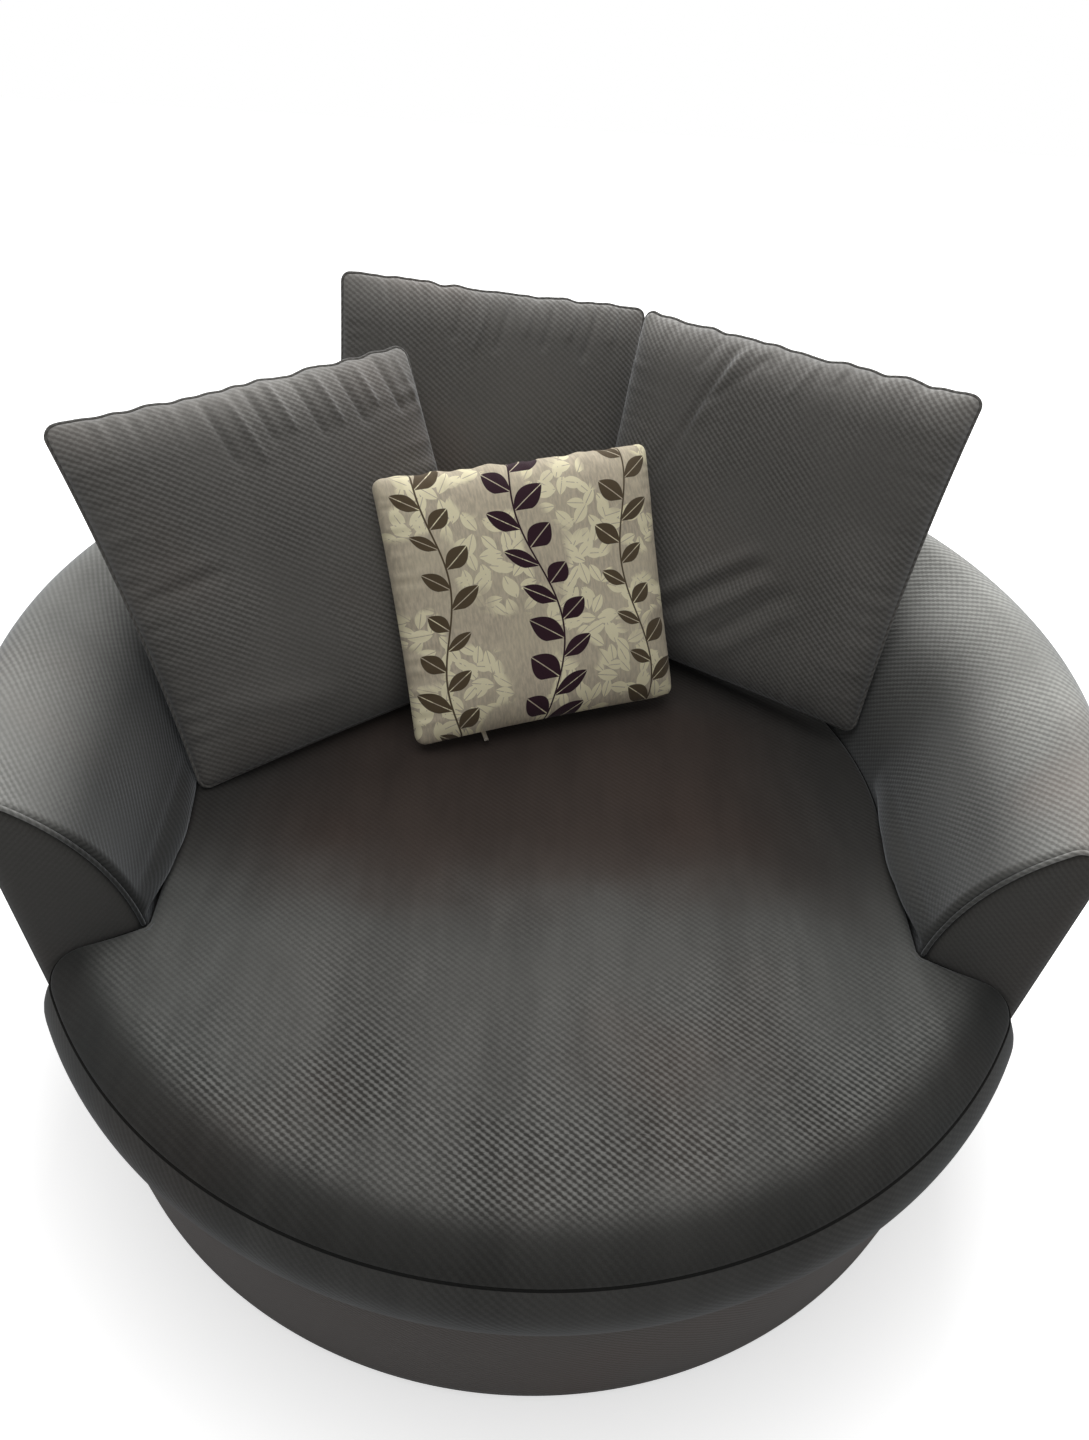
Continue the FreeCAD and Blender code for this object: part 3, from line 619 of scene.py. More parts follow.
def printed_cloth(colours):
    """Slubbed ground with pale foliage, brown side sprigs and a dark sprig between them."""
    finish = Finish("leaf_print")
    cloth = finish.cloth()
    u, v, _ = finish.split(cloth)
    thread = 0.0016
    ground, cream = tuple(colours.ground), tuple(colours.cream)
    slub = finish.noise(finish.scaled(cloth, (1.0, 0.25, 1.0)), 260.0, 2.0, 0.6)
    shade = finish.shade(ground, finish.ramp(slub, 0.3, 0.7, 0.84, 1.12))
    clouds = finish.ramp(finish.noise(cloth, 9.0), 0.35, 0.7, 0.0, 0.35)
    shade = finish.mix(clouds, shade, blend(ground, cream, 0.5))
    drifts = finish.noise(finish.vector("ADD", cloth, (0.31, 0.12, 0.0)), 8.5, 1.0)
    drifts = finish.ramp(drifts, 0.45, 0.52)
    for scale, reach, half_width in ((29.0, 0.038, 0.0100), (34.0, 0.033, 0.0085)):
        moved = finish.vector("ADD", cloth, (scale, 0.0, 0.0))
        pale, rib = scattered_leaves(finish, moved, scale, reach, half_width)
        shade = finish.mix(pale * rib * drifts, shade, cream)
    brown = {"lean": math.radians(54), "reach": 0.057, "half_width": 0.0152}
    dark = {"lean": math.radians(55), "reach": 0.072, "half_width": 0.0205}
    sprigs = (
        (-0.152, 0.014, 0.31, 0.062, 0.9, brown, colours.olive),
        (0.160, 0.016, 0.36, 0.066, 4.2, brown, colours.olive),
        (0.006, 0.026, 0.40, 0.059, 2.4, dark, colours.aubergine),
    )
    for middle, sway, sway_length, pitch, seed, leaves, tint in sprigs:
        mask, rib = sprig(finish, u, v, middle, sway, sway_length, pitch, seed=seed, **leaves)
        shade = finish.mix(mask * rib, shade, tuple(tint))
    weave = u.wave(thread) * v.wave(thread)
    return shader_inputs(finish, {
        "Base Color": shade,
        "Roughness": 0.85,
        "Specular IOR Level": 0.2,
        "Sheen Weight": 0.12,
        "Sheen Roughness": 0.5,
        "Normal": finish.bump(weave * 0.5 + slub, 0.0005, 0.6),
    })


def surface(finish, colour, roughness, relief, depth, strength, **more):
    """Set a finish's colour, roughness and relief."""
    normal = finish.bump(relief, depth, strength)
    return shader_inputs(finish, {"Base Color": colour, "Roughness": roughness, "Normal": normal, **more})


def plywood():
    finish = Finish("plywood")
    ply = 0.0036
    place = finish.place()
    grain = finish.noise(finish.scaled(place, (3.0, 60.0, 60.0)), 1.0, 4.0, 0.6)
    shade = finish.mix(finish.ramp(grain, 0.3, 0.7), (0.50, 0.33, 0.17), (0.68, 0.50, 0.30))
    _, _, lift = finish.split(finish.node("NewGeometry").outputs["Normal"])
    _, _, z = finish.split(place)
    edge = finish.ramp(abs(lift), 0.3, 0.6, 1.0, 0.0) * finish.ramp(z.wave(ply), -0.2, 0.3)
    shade = finish.mix(edge * 0.55, shade, (0.26, 0.15, 0.08))
    return surface(finish, shade, finish.ramp(grain, 0.2, 0.8, 0.55, 0.75), grain, 0.0004, 0.5)


def hardboard():
    finish = Finish("hardboard")
    fibre = finish.noise(finish.place(), 240.0, 3.0, 0.6)
    shade = finish.mix(finish.ramp(fibre, 0.3, 0.7), (0.14, 0.075, 0.038), (0.25, 0.15, 0.080))
    return surface(finish, shade, 0.6, fibre, 0.0003, 0.5)


def plated_steel(name, shade_low, shade_high, roughness):
    finish = Finish(name)
    place = finish.place()
    spangle = finish.noise(place, 70.0, 3.0, 0.6)
    rub = finish.noise(finish.scaled(place, (1.0, 8.0, 1.0)), 60.0)
    shade = finish.mix(finish.ramp(spangle, 0.3, 0.7), shade_low, shade_high)
    gloss = finish.ramp(rub, 0.3, 0.7, roughness * 0.8, roughness * 1.3)
    return surface(finish, shade, gloss, rub, 0.0001, 0.3, Metallic=1.0)


def webbing(name, lengthwise):
    """Elastic strap: coloured lines along it, and a fine cross rib."""
    finish = Finish(name)
    x, y, _ = finish.split(finish.place())
    along, across = (y, x) if lengthwise else (x, y)
    strap_pitch, rib_pitch = 0.110, 0.0025
    off = abs(finish.math("FRACT", across / strap_pitch + 10.5) - 0.5)
    line = (off > 0.10) * (off < 0.15)
    rib = along.wave(rib_pitch)
    shade = finish.mix(line, (0.035, 0.030, 0.026), (0.30, 0.10, 0.055))
    shade = finish.shade(shade, finish.ramp(rib, -1.0, 1.0, 0.7, 1.1))
    return surface(finish, shade, 0.85, rib, 0.0004, 0.6)


def speckled(name, grain, dark, pale, roughness, depth, strength):
    """An even material whose colour and relief follow a noise of the given scale, detail and roughness."""
    finish = Finish(name)
    specks = finish.noise(finish.place(), *grain)
    return surface(finish, finish.mix(specks, dark, pale), roughness, specks, depth, strength)


def nylon():
    return speckled("nylon", (700.0, 1.0), (0.010, 0.010, 0.010), (0.022, 0.022, 0.022), 0.5, 0.0001, 0.4)


def lining():
    return speckled("lining", (520.0, 1.0), (0.010, 0.010, 0.011), (0.026, 0.026, 0.028), 0.95, 0.0003, 0.6)


def fibre_fill():
    dark, pale = (0.62, 0.62, 0.60), (0.82, 0.82, 0.81)
    return speckled("fibre_fill", (130.0, 5.0, 0.7), dark, pale, 0.95, 0.003, 0.8)


def open_foam():
    finish = Finish("open_foam")
    pores = finish.node("TexVoronoi", feature="F1")
    finish.feed(pores.inputs["Vector"], finish.place())
    finish.feed(pores.inputs["Scale"], 420.0)
    depth = pores.outputs["Distance"]
    shade = finish.mix(finish.ramp(depth, 0.1, 0.6), (0.52, 0.46, 0.26), (0.74, 0.68, 0.45))
    return surface(finish, shade, 0.95, depth, 0.0008, 0.7)


def dress_frame(finishes):
    """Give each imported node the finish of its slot."""
    by_slot = {part["node"]: part["material_slot"] for part in frame["record"]["subparts"]}
    for name, node in frame["nodes"].items():
        wanted = finishes.get(name) or finishes[by_slot[name]]
        for place in node.material_slots:
            place.material = wanted


# Seat outline


class SeatOutline:
    """The seat's plan: front arc, rounded ears, ear sides, arm sides and the half circle behind."""

    ear_stretch = 1.55
    fan_turn = math.radians(24)

    def __init__(self, arms, seat):
        along, forward = (axis.xy for axis in arm_axes(arms))
        back_r = arms.opening_r - seat.gap
        taper = (arms.opening_r - arms.opening_front_half) / arms.opening_front_y
        edge = forward * seat.gap
        reach = (back_r + taper * edge.y - edge.x) / (along.x - taper * along.y)
        tip = math.sqrt(seat.edge_r**2 - seat.gap**2)
        self.inner = along * reach + edge
        self.corner = along * tip + edge
        self.before = along * (tip - seat.ear_round) + edge
        turn = math.atan2(self.corner.y, self.corner.x) - seat.ear_round / seat.edge_r
        self.after = Vector((math.cos(turn), math.sin(turn))) * seat.edge_r
        self.front_r = seat.edge_r
        self.back_r = back_r
        self.lengths = (
            seat.edge_r * (turn + math.pi / 2),
            self.ear_stretch * seat.ear_round,
            (self.before - self.inner).length,
            (Vector((back_r, 0)) - self.inner).length,
            back_r * math.pi / 2,
        )
        self.half = sum(self.lengths)

    def right(self, go):
        """Point and outward direction at a distance from the front middle along the right half."""
        front, ear, side, arm, _ = self.lengths
        if go <= front:
            angle = -math.pi / 2 + go / self.front_r
            out = Vector((math.cos(angle), math.sin(angle)))
            return out * self.front_r, out
        go -= front
        if go <= ear:
            share = go / ear
            a, b, c = self.after, self.corner, self.before
            point = a * (1 - share) ** 2 + b * 2 * share * (1 - share) + c * share**2
            run = (b - a) * (1 - share) + (c - b) * share
            return point, Vector((run.y, -run.x)).normalized()
        go -= ear
        if go <= side:
            run = (self.inner - self.before).normalized()
            return self.before + run * go, Vector((run.y, -run.x))
        go -= side
        if go <= arm:
            run = (Vector((self.back_r, 0)) - self.inner).normalized()
            return self.inner + run * go, Vector((run.y, -run.x))
        angle = min((go - arm) / self.back_r, math.pi / 2)
        out = Vector((math.cos(angle), math.sin(angle)))
        return out * self.back_r, out

    def inward(self, share):
        """The direction that the top's rows run in towards; they fan out in front of the arms."""
        go = share * 2 * self.half
        left = go > self.half
        go = 2 * self.half - go if left else go
        front, ear, side, _, _ = self.lengths
        root = math.atan2(self.inner.y, self.inner.x)
        fan = root - self.fan_turn
        if go < front + ear:
            turn = lerp(-math.pi / 2, fan, go / (front + ear))
        elif go < front + ear + side:
            turn = lerp(fan, root, (go - front - ear) / side)
        else:
            point = self.right(go)[0]
            turn = math.atan2(point.y, point.x)
        return Vector((-math.cos(turn) if left else math.cos(turn), math.sin(turn)))

    def at(self, share):
        """Point, outward direction and distance a share of the way round from the front middle."""
        go = share * 2 * self.half
        if go <= self.half:
            point, out = self.right(go)
        else:
            point, out = self.right(2 * self.half - go)
            point, out = Vector((-point.x, point.y)), Vector((-out.x, out.y))
        return point, out, go


def seat_top(seat, x, y):
    """Height of the crowned top, with its roll down to the front seam."""
    radius = min(math.hypot(x, y), seat.edge_r)
    roll_r = seat.edge_r - seat.roll
    rise = seat.crown_z - seat.roll_z
    dome_r = (roll_r**2 + rise**2) / (2 * rise)
    dome_z = seat.crown_z - dome_r
    if radius < roll_r:
        return dome_z + math.sqrt(dome_r**2 - radius**2)
    start = Vector((roll_r, seat.roll_z))
    normal = (start - Vector((0, dome_z))).normalized()
    down = Vector((seat.edge_r, seat.edge_z)) - start
    round_r = -down.length_squared / (2 * down.dot(normal))
    centre = start - normal * round_r
    return centre.y + math.sqrt(max(round_r**2 - (radius - centre.x) ** 2, 0.0))


def edge_drop(inset, rounding):
    """How far a rounded edge lies below the flat that it rounds off."""
    return rounding - math.sqrt(max(rounding**2 - max(rounding - inset, 0.0) ** 2, 0.0))


def seat_swell(seat, z):
    """How far the front band stands out from the seam at a height."""
    if z > seat.bulge_z:
        share = (z - seat.bulge_z) / (seat.edge_z - seat.bulge_z)
        return lerp(seat.bulge_r, seat.edge_r, share * share) - seat.edge_r
    share = (seat.bulge_z - z) / (seat.bulge_z - seat.low_z)
    return lerp(seat.bulge_r, seat.low_r, share * share) - seat.edge_r


# Loose cushion shapes


def cushion_place(size, base, turn):
    """The matrix that stands a cushion on its lower seam, leans it back and turns it."""
    yaw, lean, roll = turn
    stand = Matrix.Translation((0, 0, size[1] / 2)) @ Matrix.Rotation(math.radians(90), 4, "X")
    rolled = Matrix.Rotation(-roll, 4, "Y") @ stand
    leaned = Matrix.Rotation(-lean, 4, "X") @ rolled
    return Matrix.Translation(base) @ Matrix.Rotation(yaw, 4, "Z") @ leaned


def fold_depth(x, y, folds):
    """Sum of the folds at a place on a cushion's face; each fold is a line with a width and a height."""
    overrun, fade_share, at_end = 0.15, 0.25, 0.4
    lift = 0.0
    for x0, y0, x1, y1, width, height in folds:
        run = Vector((x1 - x0, y1 - y0))
        rel = Vector((x - x0, y - y0))
        share = rel.dot(run) / run.length_squared
        if -overrun < share < 1 + overrun:
            near = min(max(share, 0.0), 1.0)
            away = (rel - run * near).length
            fade = smooth(share / fade_share + at_end) * smooth((1 - share) / fade_share + at_end)
            lift += height * math.exp(-((away / width) ** 2)) * fade
    return lift


def rounded(s, t, corner):
    """A place of the unit square carried into the square with rounded corners."""
    edge = 1 - corner
    if abs(s) <= edge or abs(t) <= edge:
        return s, t
    a, b = (abs(s) - edge) / corner, (abs(t) - edge) / corner
    a, b = a * math.sqrt(1 - b * b / 2), b * math.sqrt(1 - a * a / 2)
    return math.copysign(edge + corner * a, s), math.copysign(edge + corner * b, t)


def slanted(count, start, end, top, shift, reach, width, height, seed):
    """Folds side by side that run down from the upper seam, each a little different."""
    stray, vary = 0.008, 0.6
    made = []
    for index in range(count):
        chance = noise.noise(Vector((index * 1.37, seed, 0.5)))
        x = lerp(start, end, index / (count - 1)) + stray * chance
        long = reach * (1 + vary * chance)
        depth = height if index % 2 else -height
        made.append((x, top, x + shift * (1 + chance), top - long, width, depth))
    return tuple(made)


class CushionForm:
    """A crowned closed form: sides drawn in between the corners, folds and gathers on its front.

    ears: per side, left then right, how much wider it is at its foot, wider at its top, and taller.
    draws: per side, how far it pulls in; gathers: edge, start, end, reach, height and pitch.
    """

    seam_in = 0.003
    bumps, bump_rate = 0.005, 9
    softness, soft_rate = 0.006, 1.7
    filled = 0.985
    steepness = 8

    def __init__(
        self, size, sizes, folds=(), gathers=(), seed=0.0, ears=((0, 0, 0), (0, 0, 0)),
        draws=(0, 0), corner=0.06, fullness=4.0, back=3.0,
    ):
        self.half = (size[0] / 2 - self.seam_in, size[1] / 2 - self.seam_in)
        self.draw = sizes.draw_in
        self.edge = sizes.edge_half * 0.5
        self.rise = size[2] / 2 * self.filled - self.edge
        self.folds = folds
        self.gathers = gathers
        self.seed = seed
        self.ears = ears
        self.draws = draws
        self.corner = corner
        self.fullness = fullness
        self.back = back

    def outline(self, s, t):
        """A place in the cushion's plane, s and t from -1 to 1."""
        s, t = rounded(s, t, self.corner)
        low, high, tall = lerp(Vector(self.ears[0]), Vector(self.ears[1]), (s + 1) / 2)
        climb = (t + 1) / 2
        wide = lerp(low, high, climb)
        draw = lerp(self.draws[0], self.draws[1], (s + 1) / 2)
        x = s * (self.half[0] + wide - draw * (1 - t * t))
        bumps = self.bumps * noise.noise(Vector((s * self.bump_rate, self.seed, 1.7))) * climb**4
        y = t * (self.half[1] - self.draw * (1 - s * s)) + tall * climb + bumps
        return x, y

    def crown(self, s, t, fullness):
        return math.sqrt(max((1 - abs(s) ** fullness) * (1 - abs(t) ** fullness), 0.0))

    def lift(self, crown):
        """Height over the cushion's plane; it leaves the seam steeply."""
        return self.edge * min(1.0, crown * self.steepness) + self.rise * crown

    def puckers(self, s, t):
        """Short gathers that run in from the seams."""
        end_fade, seam_fade, strength = 0.15, 0.05, 2.2
        lift = 0.0
        for side, start, end, reach, height, pitch in self.gathers:
            along, into = ((s, 1 - t), (s, 1 + t), (t, 1 - s), (t, 1 + s))[side]
            if start < along < end:
                fade = smooth((along - start) / end_fade) * smooth((end - along) / end_fade)
                wave = noise.noise(Vector((along / pitch, into * 0.9, self.seed + side * 7.3)))
                rise = smooth(into / seam_fade) * math.exp(-into / reach)
                lift += height * wave * strength * rise * fade
        return lift

    def front(self, s, t):
        x, y = self.outline(s, t)
        crown = self.crown(s, t, self.fullness)
        spot = Vector((s * self.soft_rate, t * self.soft_rate, self.seed + 3.1))
        soft = noise.noise(spot) * self.softness * crown
        folds = fold_depth(x, y, self.folds) * min(1.0, crown * 1.6)
        return x, y, self.lift(crown) + soft + folds + self.puckers(s, t)


def seamward(share):
    """A share from 0 to 1 carried to -1 to 1, closer together near the seams."""
    even, crowded = 0.72, 0.28
    line = 2 * share - 1
    return even * line + crowded * math.sin(line * math.pi / 2)


def cushion_mesh(form, place, columns):
    mesh = bmesh.new()
    back_shift = 2.0

    def front(u, v):
        x, y, z = form.front(seamward(u), seamward(v))
        return place @ Vector((x, y, z)), (x, y)

    def back(u, v):
        s, t = seamward(u), seamward(v)
        x, y = form.outline(s, t)
        z = -form.lift(form.crown(s, t, form.back))
        return place @ Vector((x, y, z)), (x + back_shift, y)

    add_grid(mesh, columns, columns, front)
    add_grid(mesh, columns, columns, back, flip=True)
    finish_closed(mesh)
    return mesh


def seam_cord(mesh, form, place, radius):
    """Corded trim along a cushion's seam."""
    def path(share):
        leg, go = divmod(share * 4 % 4, 1)
        line = 2 * go - 1
        corners = (line, -1), (1, line), (-line, 1), (-1, -line)
        x, y = form.outline(*corners[int(leg)])
        return place @ Vector((x, y, 0.0))

    face = place.to_3x3() @ UP
    tube(mesh, path, 400, radius, lambda share: face, sides=8)


# Stage


def floor_finish():
    """Pale floor that takes the shadow near the chair and reads white further out."""
    finish = Finish("floor")
    x, y, _ = finish.split(finish.place())
    glow = finish.ramp(finish.distance(x, y), 0.72, 1.15, 0.60, 1.0)
    return shader_inputs(finish, {
        "Base Color": (0.86, 0.86, 0.86),
        "Roughness": 0.9,
        "Specular IOR Level": 0.1,
        "Emission Color": (1.0, 1.0, 1.0),
        "Emission Strength": glow * finish.node("LightPath").outputs["Is Camera Ray"],
    })


def soft_lamp(name, place, aim, side, power):
    lamp = bpy.data.lights.new(name, "AREA")
    lamp.shape = "SQUARE"
    lamp.size = side
    lamp.energy = power
    holder = add_object(name, lamp)
    holder.location = place
    holder.rotation_euler = (Vector(aim) - Vector(place)).to_track_quat("-Z", "Y").to_euler()


def place_camera(scene, sizes):
    yaw, pitch, roll = sizes.camera_turn
    ahead = Vector((
        math.sin(yaw) * math.cos(pitch), math.cos(yaw) * math.cos(pitch), -math.sin(pitch)
    ))
    right = Vector((math.cos(yaw), -math.sin(yaw), 0))
    above = right.cross(ahead)
    level = right * math.cos(roll) + above * math.sin(roll)
    upright = above * math.cos(roll) - right * math.sin(roll)
    camera = bpy.data.cameras.new("camera")
    camera.lens = sizes.lens
    camera.sensor_width = 36.0
    camera.clip_end = 50.0
    holder = add_object("camera", camera)
    turn = Matrix((level, upright, -ahead)).transposed().to_4x4()
    holder.matrix_world = Matrix.Translation(sizes.camera_place) @ turn
    scene.camera = holder


def lay_floor(sizes):
    floor = bmesh.new()
    bmesh.ops.create_grid(floor, x_segments=4, y_segments=4, size=sizes.floor_size / 2)
    data = bpy.data.meshes.new("floor")
    floor.to_mesh(data)
    floor.free()
    data.materials.append(floor_finish())
    add_object("floor", data)


def fill_room(scene, ambient):
    """White to the camera and in reflections, with a dimmer light on the chair."""
    world = bpy.data.worlds.new("studio")
    scene.world = world
    world.use_nodes = True
    tree = world.node_tree
    sky = tree.nodes["Background"]
    sky.inputs["Color"].default_value = (1, 1, 1, 1)
    rays = tree.nodes.new("ShaderNodeLightPath")
    shown = tree.nodes.new("ShaderNodeMath")
    shown.operation = "MAXIMUM"
    tree.links.new(rays.outputs["Is Camera Ray"], shown.inputs[0])
    tree.links.new(rays.outputs["Is Glossy Ray"], shown.inputs[1])
    level = tree.nodes.new("ShaderNodeMapRange")
    tree.links.new(shown.outputs[0], level.inputs["Value"])
    level.inputs["To Min"].default_value = ambient
    level.inputs["To Max"].default_value = 1.0
    tree.links.new(level.outputs[0], sky.inputs["Strength"])


# Operators


class CHAIR_OT_stage(Operator):
    """Place the camera, the pale floor and the soft lamps"""

    bl_idname = "chair.stage"
    bl_label = "Stage"

    def execute(self, context):
        scene = context.scene
        place_camera(scene, scene.chair_stage)
        lay_floor(scene.chair_stage)
        fill_room(scene, ambient=0.30)
        soft_lamp("window", (0.3, 2.6, 2.5), (0, 0.0, 0.45), side=2.4, power=95)
        soft_lamp("ceiling", (-0.2, -0.3, 3.4), (0, -0.1, 0.4), side=2.4, power=26)
        scene.view_settings.view_transform = "Standard"
        return {"FINISHED"}


class CHAIR_OT_finishes(Operator):
    """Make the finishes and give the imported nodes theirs"""

    bl_idname = "chair.finishes"
    bl_label = "Finishes"

    def execute(self, context):
        colours = context.scene.chair_colours
        # One charcoal cloth in lit and shaded copies: each copy's lightness and tone paint the light and
        # shade that fall on its pieces.
        charcoal = chenille("chenille", colours, cushion_painted_highlight_tone)
        chenille("chenille_arms", colours, arm_painted_sheen_tone, sheen=0.5)
        chenille("chenille_seat", colours, seat_lit_and_shaded_tone, contrast=0.58, sheen=0.2)
        chenille("chenille_shade", colours, plain_tone(1.35, 0.3, 0.2), contrast=0.45)
        chenille("chenille_drum", colours, plain_tone(1.40, 0.5, 0.50), contrast=0.45, sheen=0.15)
        # Painted shade: the seat piping is painted near black for the shadow along the seams and in the
        # gaps beside the arms.
        chenille("chenille_seam", colours, plain_tone(0.16, 0.3), sheen=0.0)
        dress_frame({
            "board": plywood(),
            "hardboard": hardboard(),
            "steel": plated_steel("zinc_steel", (0.42, 0.43, 0.45), (0.58, 0.59, 0.60), 0.38),
            "chrome_steel": plated_steel("ball_steel", (0.62, 0.62, 0.64), (0.72, 0.72, 0.74), 0.14),
            "nylon": nylon(),
            "charcoal_cloth": charcoal,
            "foam": open_foam(),
            "fibre": fibre_fill(),
            "webbing": webbing("webbing_lengthwise", True),
            "crosswise_straps": webbing("webbing_crosswise", False),
            "lining": lining(),
            "printed_cloth": printed_cloth(colours),
            "zip_metal": plated_steel("zip_nickel", (0.60, 0.59, 0.56), (0.74, 0.73, 0.70), 0.3),
        })
        return {"FINISHED"}


def stretch_cloth(piece, thickness):
    """Thicken a skin inwards."""
    thick = piece.modifiers.new("cloth", "SOLIDIFY")
    thick.thickness = thickness
    thick.offset = -1.0


def padding(sizes, section, azimuth, z, go, inset):
    """How far the wrap stands out over the seat behind the arms' ends, and how far near them."""
    fullest, ridge, end_swell = 0.023, 0.004, 0.008
    end_turn = math.radians(33)
    front = min(azimuth, math.pi - azimuth)
    reach = min(max((front - sizes.arm_end) / end_turn, 0.0), 1.0)
    upright, slope, _ = section.stretches(inset)
    on_slope = min(max((go - upright) / slope, 0.0), 1.0)
    above = z - sizes.shoulder_z
    overhang = smooth((above - 0.006) / 0.012) * math.exp(-((max(above - 0.020, 0.0) / 0.040) ** 2))
    crease = math.exp(-(((above - 0.052) / 0.009) ** 2))
    middle = (fullest * overhang - ridge * crease) * math.sin(math.pi * reach**0.72)
    return middle, end_swell * (1 - smooth(reach * 0.8)) * math.sin(math.pi * on_slope)


class CHAIR_OT_arms(Operator):
    """Pad and cover the arms and back, inside, over the rim and outside"""

    bl_idname = "chair.arms"
    bl_label = "Arms and back"

    def execute(self, context):
        sizes = context.scene.chair_arms
        face_depth = 2 * (sizes.piping_r + CORD_GAP)
        wrap_cloth_r, outer_cloth_r, outer_mean_r = 0.62, 0.73, 0.735
        rim_gap = 0.0006

        def padded_face(u, v, inset):
            """A share round the arms and a share up the profile, a depth inside the cloth."""
            azimuth = arm_azimuth(sizes, u)
            section = ArmSection(sizes, azimuth)
            (radius, z), go = section.along(v, inset)
            middle, end = padding(sizes, section, azimuth, z, go, inset)
            radius = radius - middle - end
            turn = around_arms(sizes, u, radius, face_depth)
            return polar(radius, turn, z), (wrap_cloth_r * azimuth, go)

        wrap = bmesh.new()
        columns, rows = 300, 96
        add_grid(wrap, columns, rows, lambda u, v: padded_face(u, v, 0.0), flip=True)
        add_grid(wrap, columns, rows, lambda u, v: padded_face(u, v, sizes.wrap_t))
        bmesh.ops.bridge_loops(wrap, edges=open_edges(wrap))
        finish_closed(wrap)
        foams = [f"{side}_{part}_foam" for part in ("back", "arm") for side in ("right", "left")]
        piece = make_piece(wrap, "arm_wrap", "chenille_arms", "swivel_frame", ("inner_cover", *foams))

        def outside(u, v):
            azimuth = arm_azimuth(sizes, u)
            section = ArmSection(sizes, azimuth)
            high = section.rim.y - rim_gap
            radius, z = section.outer(lerp(sizes.foot_z, high, v), 0.0)
            turn = around_arms(sizes, u, radius, face_depth)
            return polar(radius, turn, z), (outer_cloth_r * azimuth, z)

        outer = bmesh.new()
        add_grid(outer, 240, 26, outside)
        skin = make_piece(outer, "outer_skin", "chenille_shade", "swivel_frame", ("outer_cover",))
        stretch_cloth(skin, sizes.cloth_t)
        return {"FINISHED"}


class FacingEdge:
    """The edge of an arm's face, a little inside the section, and the line of its piping."""

    inset = 0.0064
    wall_inset = 0.0012
    wall_ease = 0.03
    cord_room = 0.0001
    apex = math.pi / 2

    def __init__(self, sizes):
        self.section = ArmSection(sizes, sizes.arm_end)
        self.low = sizes.foot_z
        self.cord_inset = sizes.piping_r + self.cord_room

    def inner(self, share):
        """From the foot up the seat side and the slope to the rim's top."""
        section, inset = self.section, self.inset
        reach = sum(section.stretches(inset)) - self.apex * (section.round - inset)
        return section.at(share * reach, inset)

    def outer(self, share):
        """From the foot up the outer wall to the rim's top."""
        section = self.section
        wall = section.rim.y - self.low
        go = share * (wall + self.apex * (section.round - self.inset))
        if go < wall:
            ease = smooth((go - wall) / self.wall_ease + 1)
            return section.outer(self.low + go, lerp(self.wall_inset, self.inset, ease))
        return section.on_rim((go - wall) / (section.round - self.inset), self.inset)

    def cord(self, share):
        """From the shoulder up the slope and over the rim."""
        section = self.section
        slope = (section.low_turn - section.slope_end) * section.slope_r
        go = share * (slope + section.slope_end * section.round)
        if go < slope:
            return section.on_slope(section.low_turn - go / section.slope_r, self.cord_inset)
        return section.on_rim(section.slope_end - (go - slope) / section.round, self.cord_inset)


def pad_facing(side, edge, along, forward):
    """The padded face of one arm, rounded off all round except at its foot."""
    edge_depth, fullness, edge_r = 0.0065, 0.006, 0.016
    face_height, top_gap, skirt_depth = 0.35, 0.001, 0.00005

    def face(u, v):
        first, last = edge.inner(v), edge.outer(v)
        radius, z = lerp(first, last, u)
        wide = (last - first).length
        near = min(u * wide, (1 - u) * wide, (1 - v) * face_height + top_gap)
        rounding = 1 - (1 - min(near / edge_r, 1.0)) ** 2
        depth = edge_depth - fullness * rounding
        return along * radius - forward * depth + UP * z, (radius, z)

    pad = bmesh.new()
    add_grid(pad, 26, 60, face)
    close_seams(pad)
    made = bmesh.ops.extrude_edge_only(pad, edges=open_edges(pad))["geom"]
    skirt = [item for item in made if isinstance(item, bmesh.types.BMVert)]
    bmesh.ops.translate(pad, verts=skirt, vec=-forward * skirt_depth)
    bmesh.ops.holes_fill(pad, edges=pad.edges)
    finish_closed(pad)
    put_in_order(pad)
    nodes = (f"{side}_facing_pad", f"{side}_facing_cover")
    piece = make_piece(pad, f"{side}_arm_face", "chenille_shade", "swivel_frame", nodes)


class CHAIR_OT_facings(Operator):
    """Pad the arms' faces and trim them with piping"""

    bl_idname = "chair.facings"
    bl_label = "Arm faces"

    def execute(self, context):
        sizes = context.scene.chair_arms
        edge = FacingEdge(sizes)
        for side in ("right", "left"):
            along, forward = arm_axes(sizes, side == "left")
            pad_facing(side, edge, along, forward)

            def trim(share):
                radius, z = edge.cord(share)
                return along * radius - forward * (sizes.piping_r + CORD_GAP) + UP * z

            cord = bmesh.new()
            tube(cord, trim, 120, sizes.piping_r, lambda share: forward)
            bmesh.ops.holes_fill(cord, edges=cord.edges)
            finish_closed(cord)
            nodes = (f"{side}_facing_piping",)
            make_piece(cord, f"{side}_arm_trim", "chenille_arms", "swivel_frame", nodes)
        return {"FINISHED"}


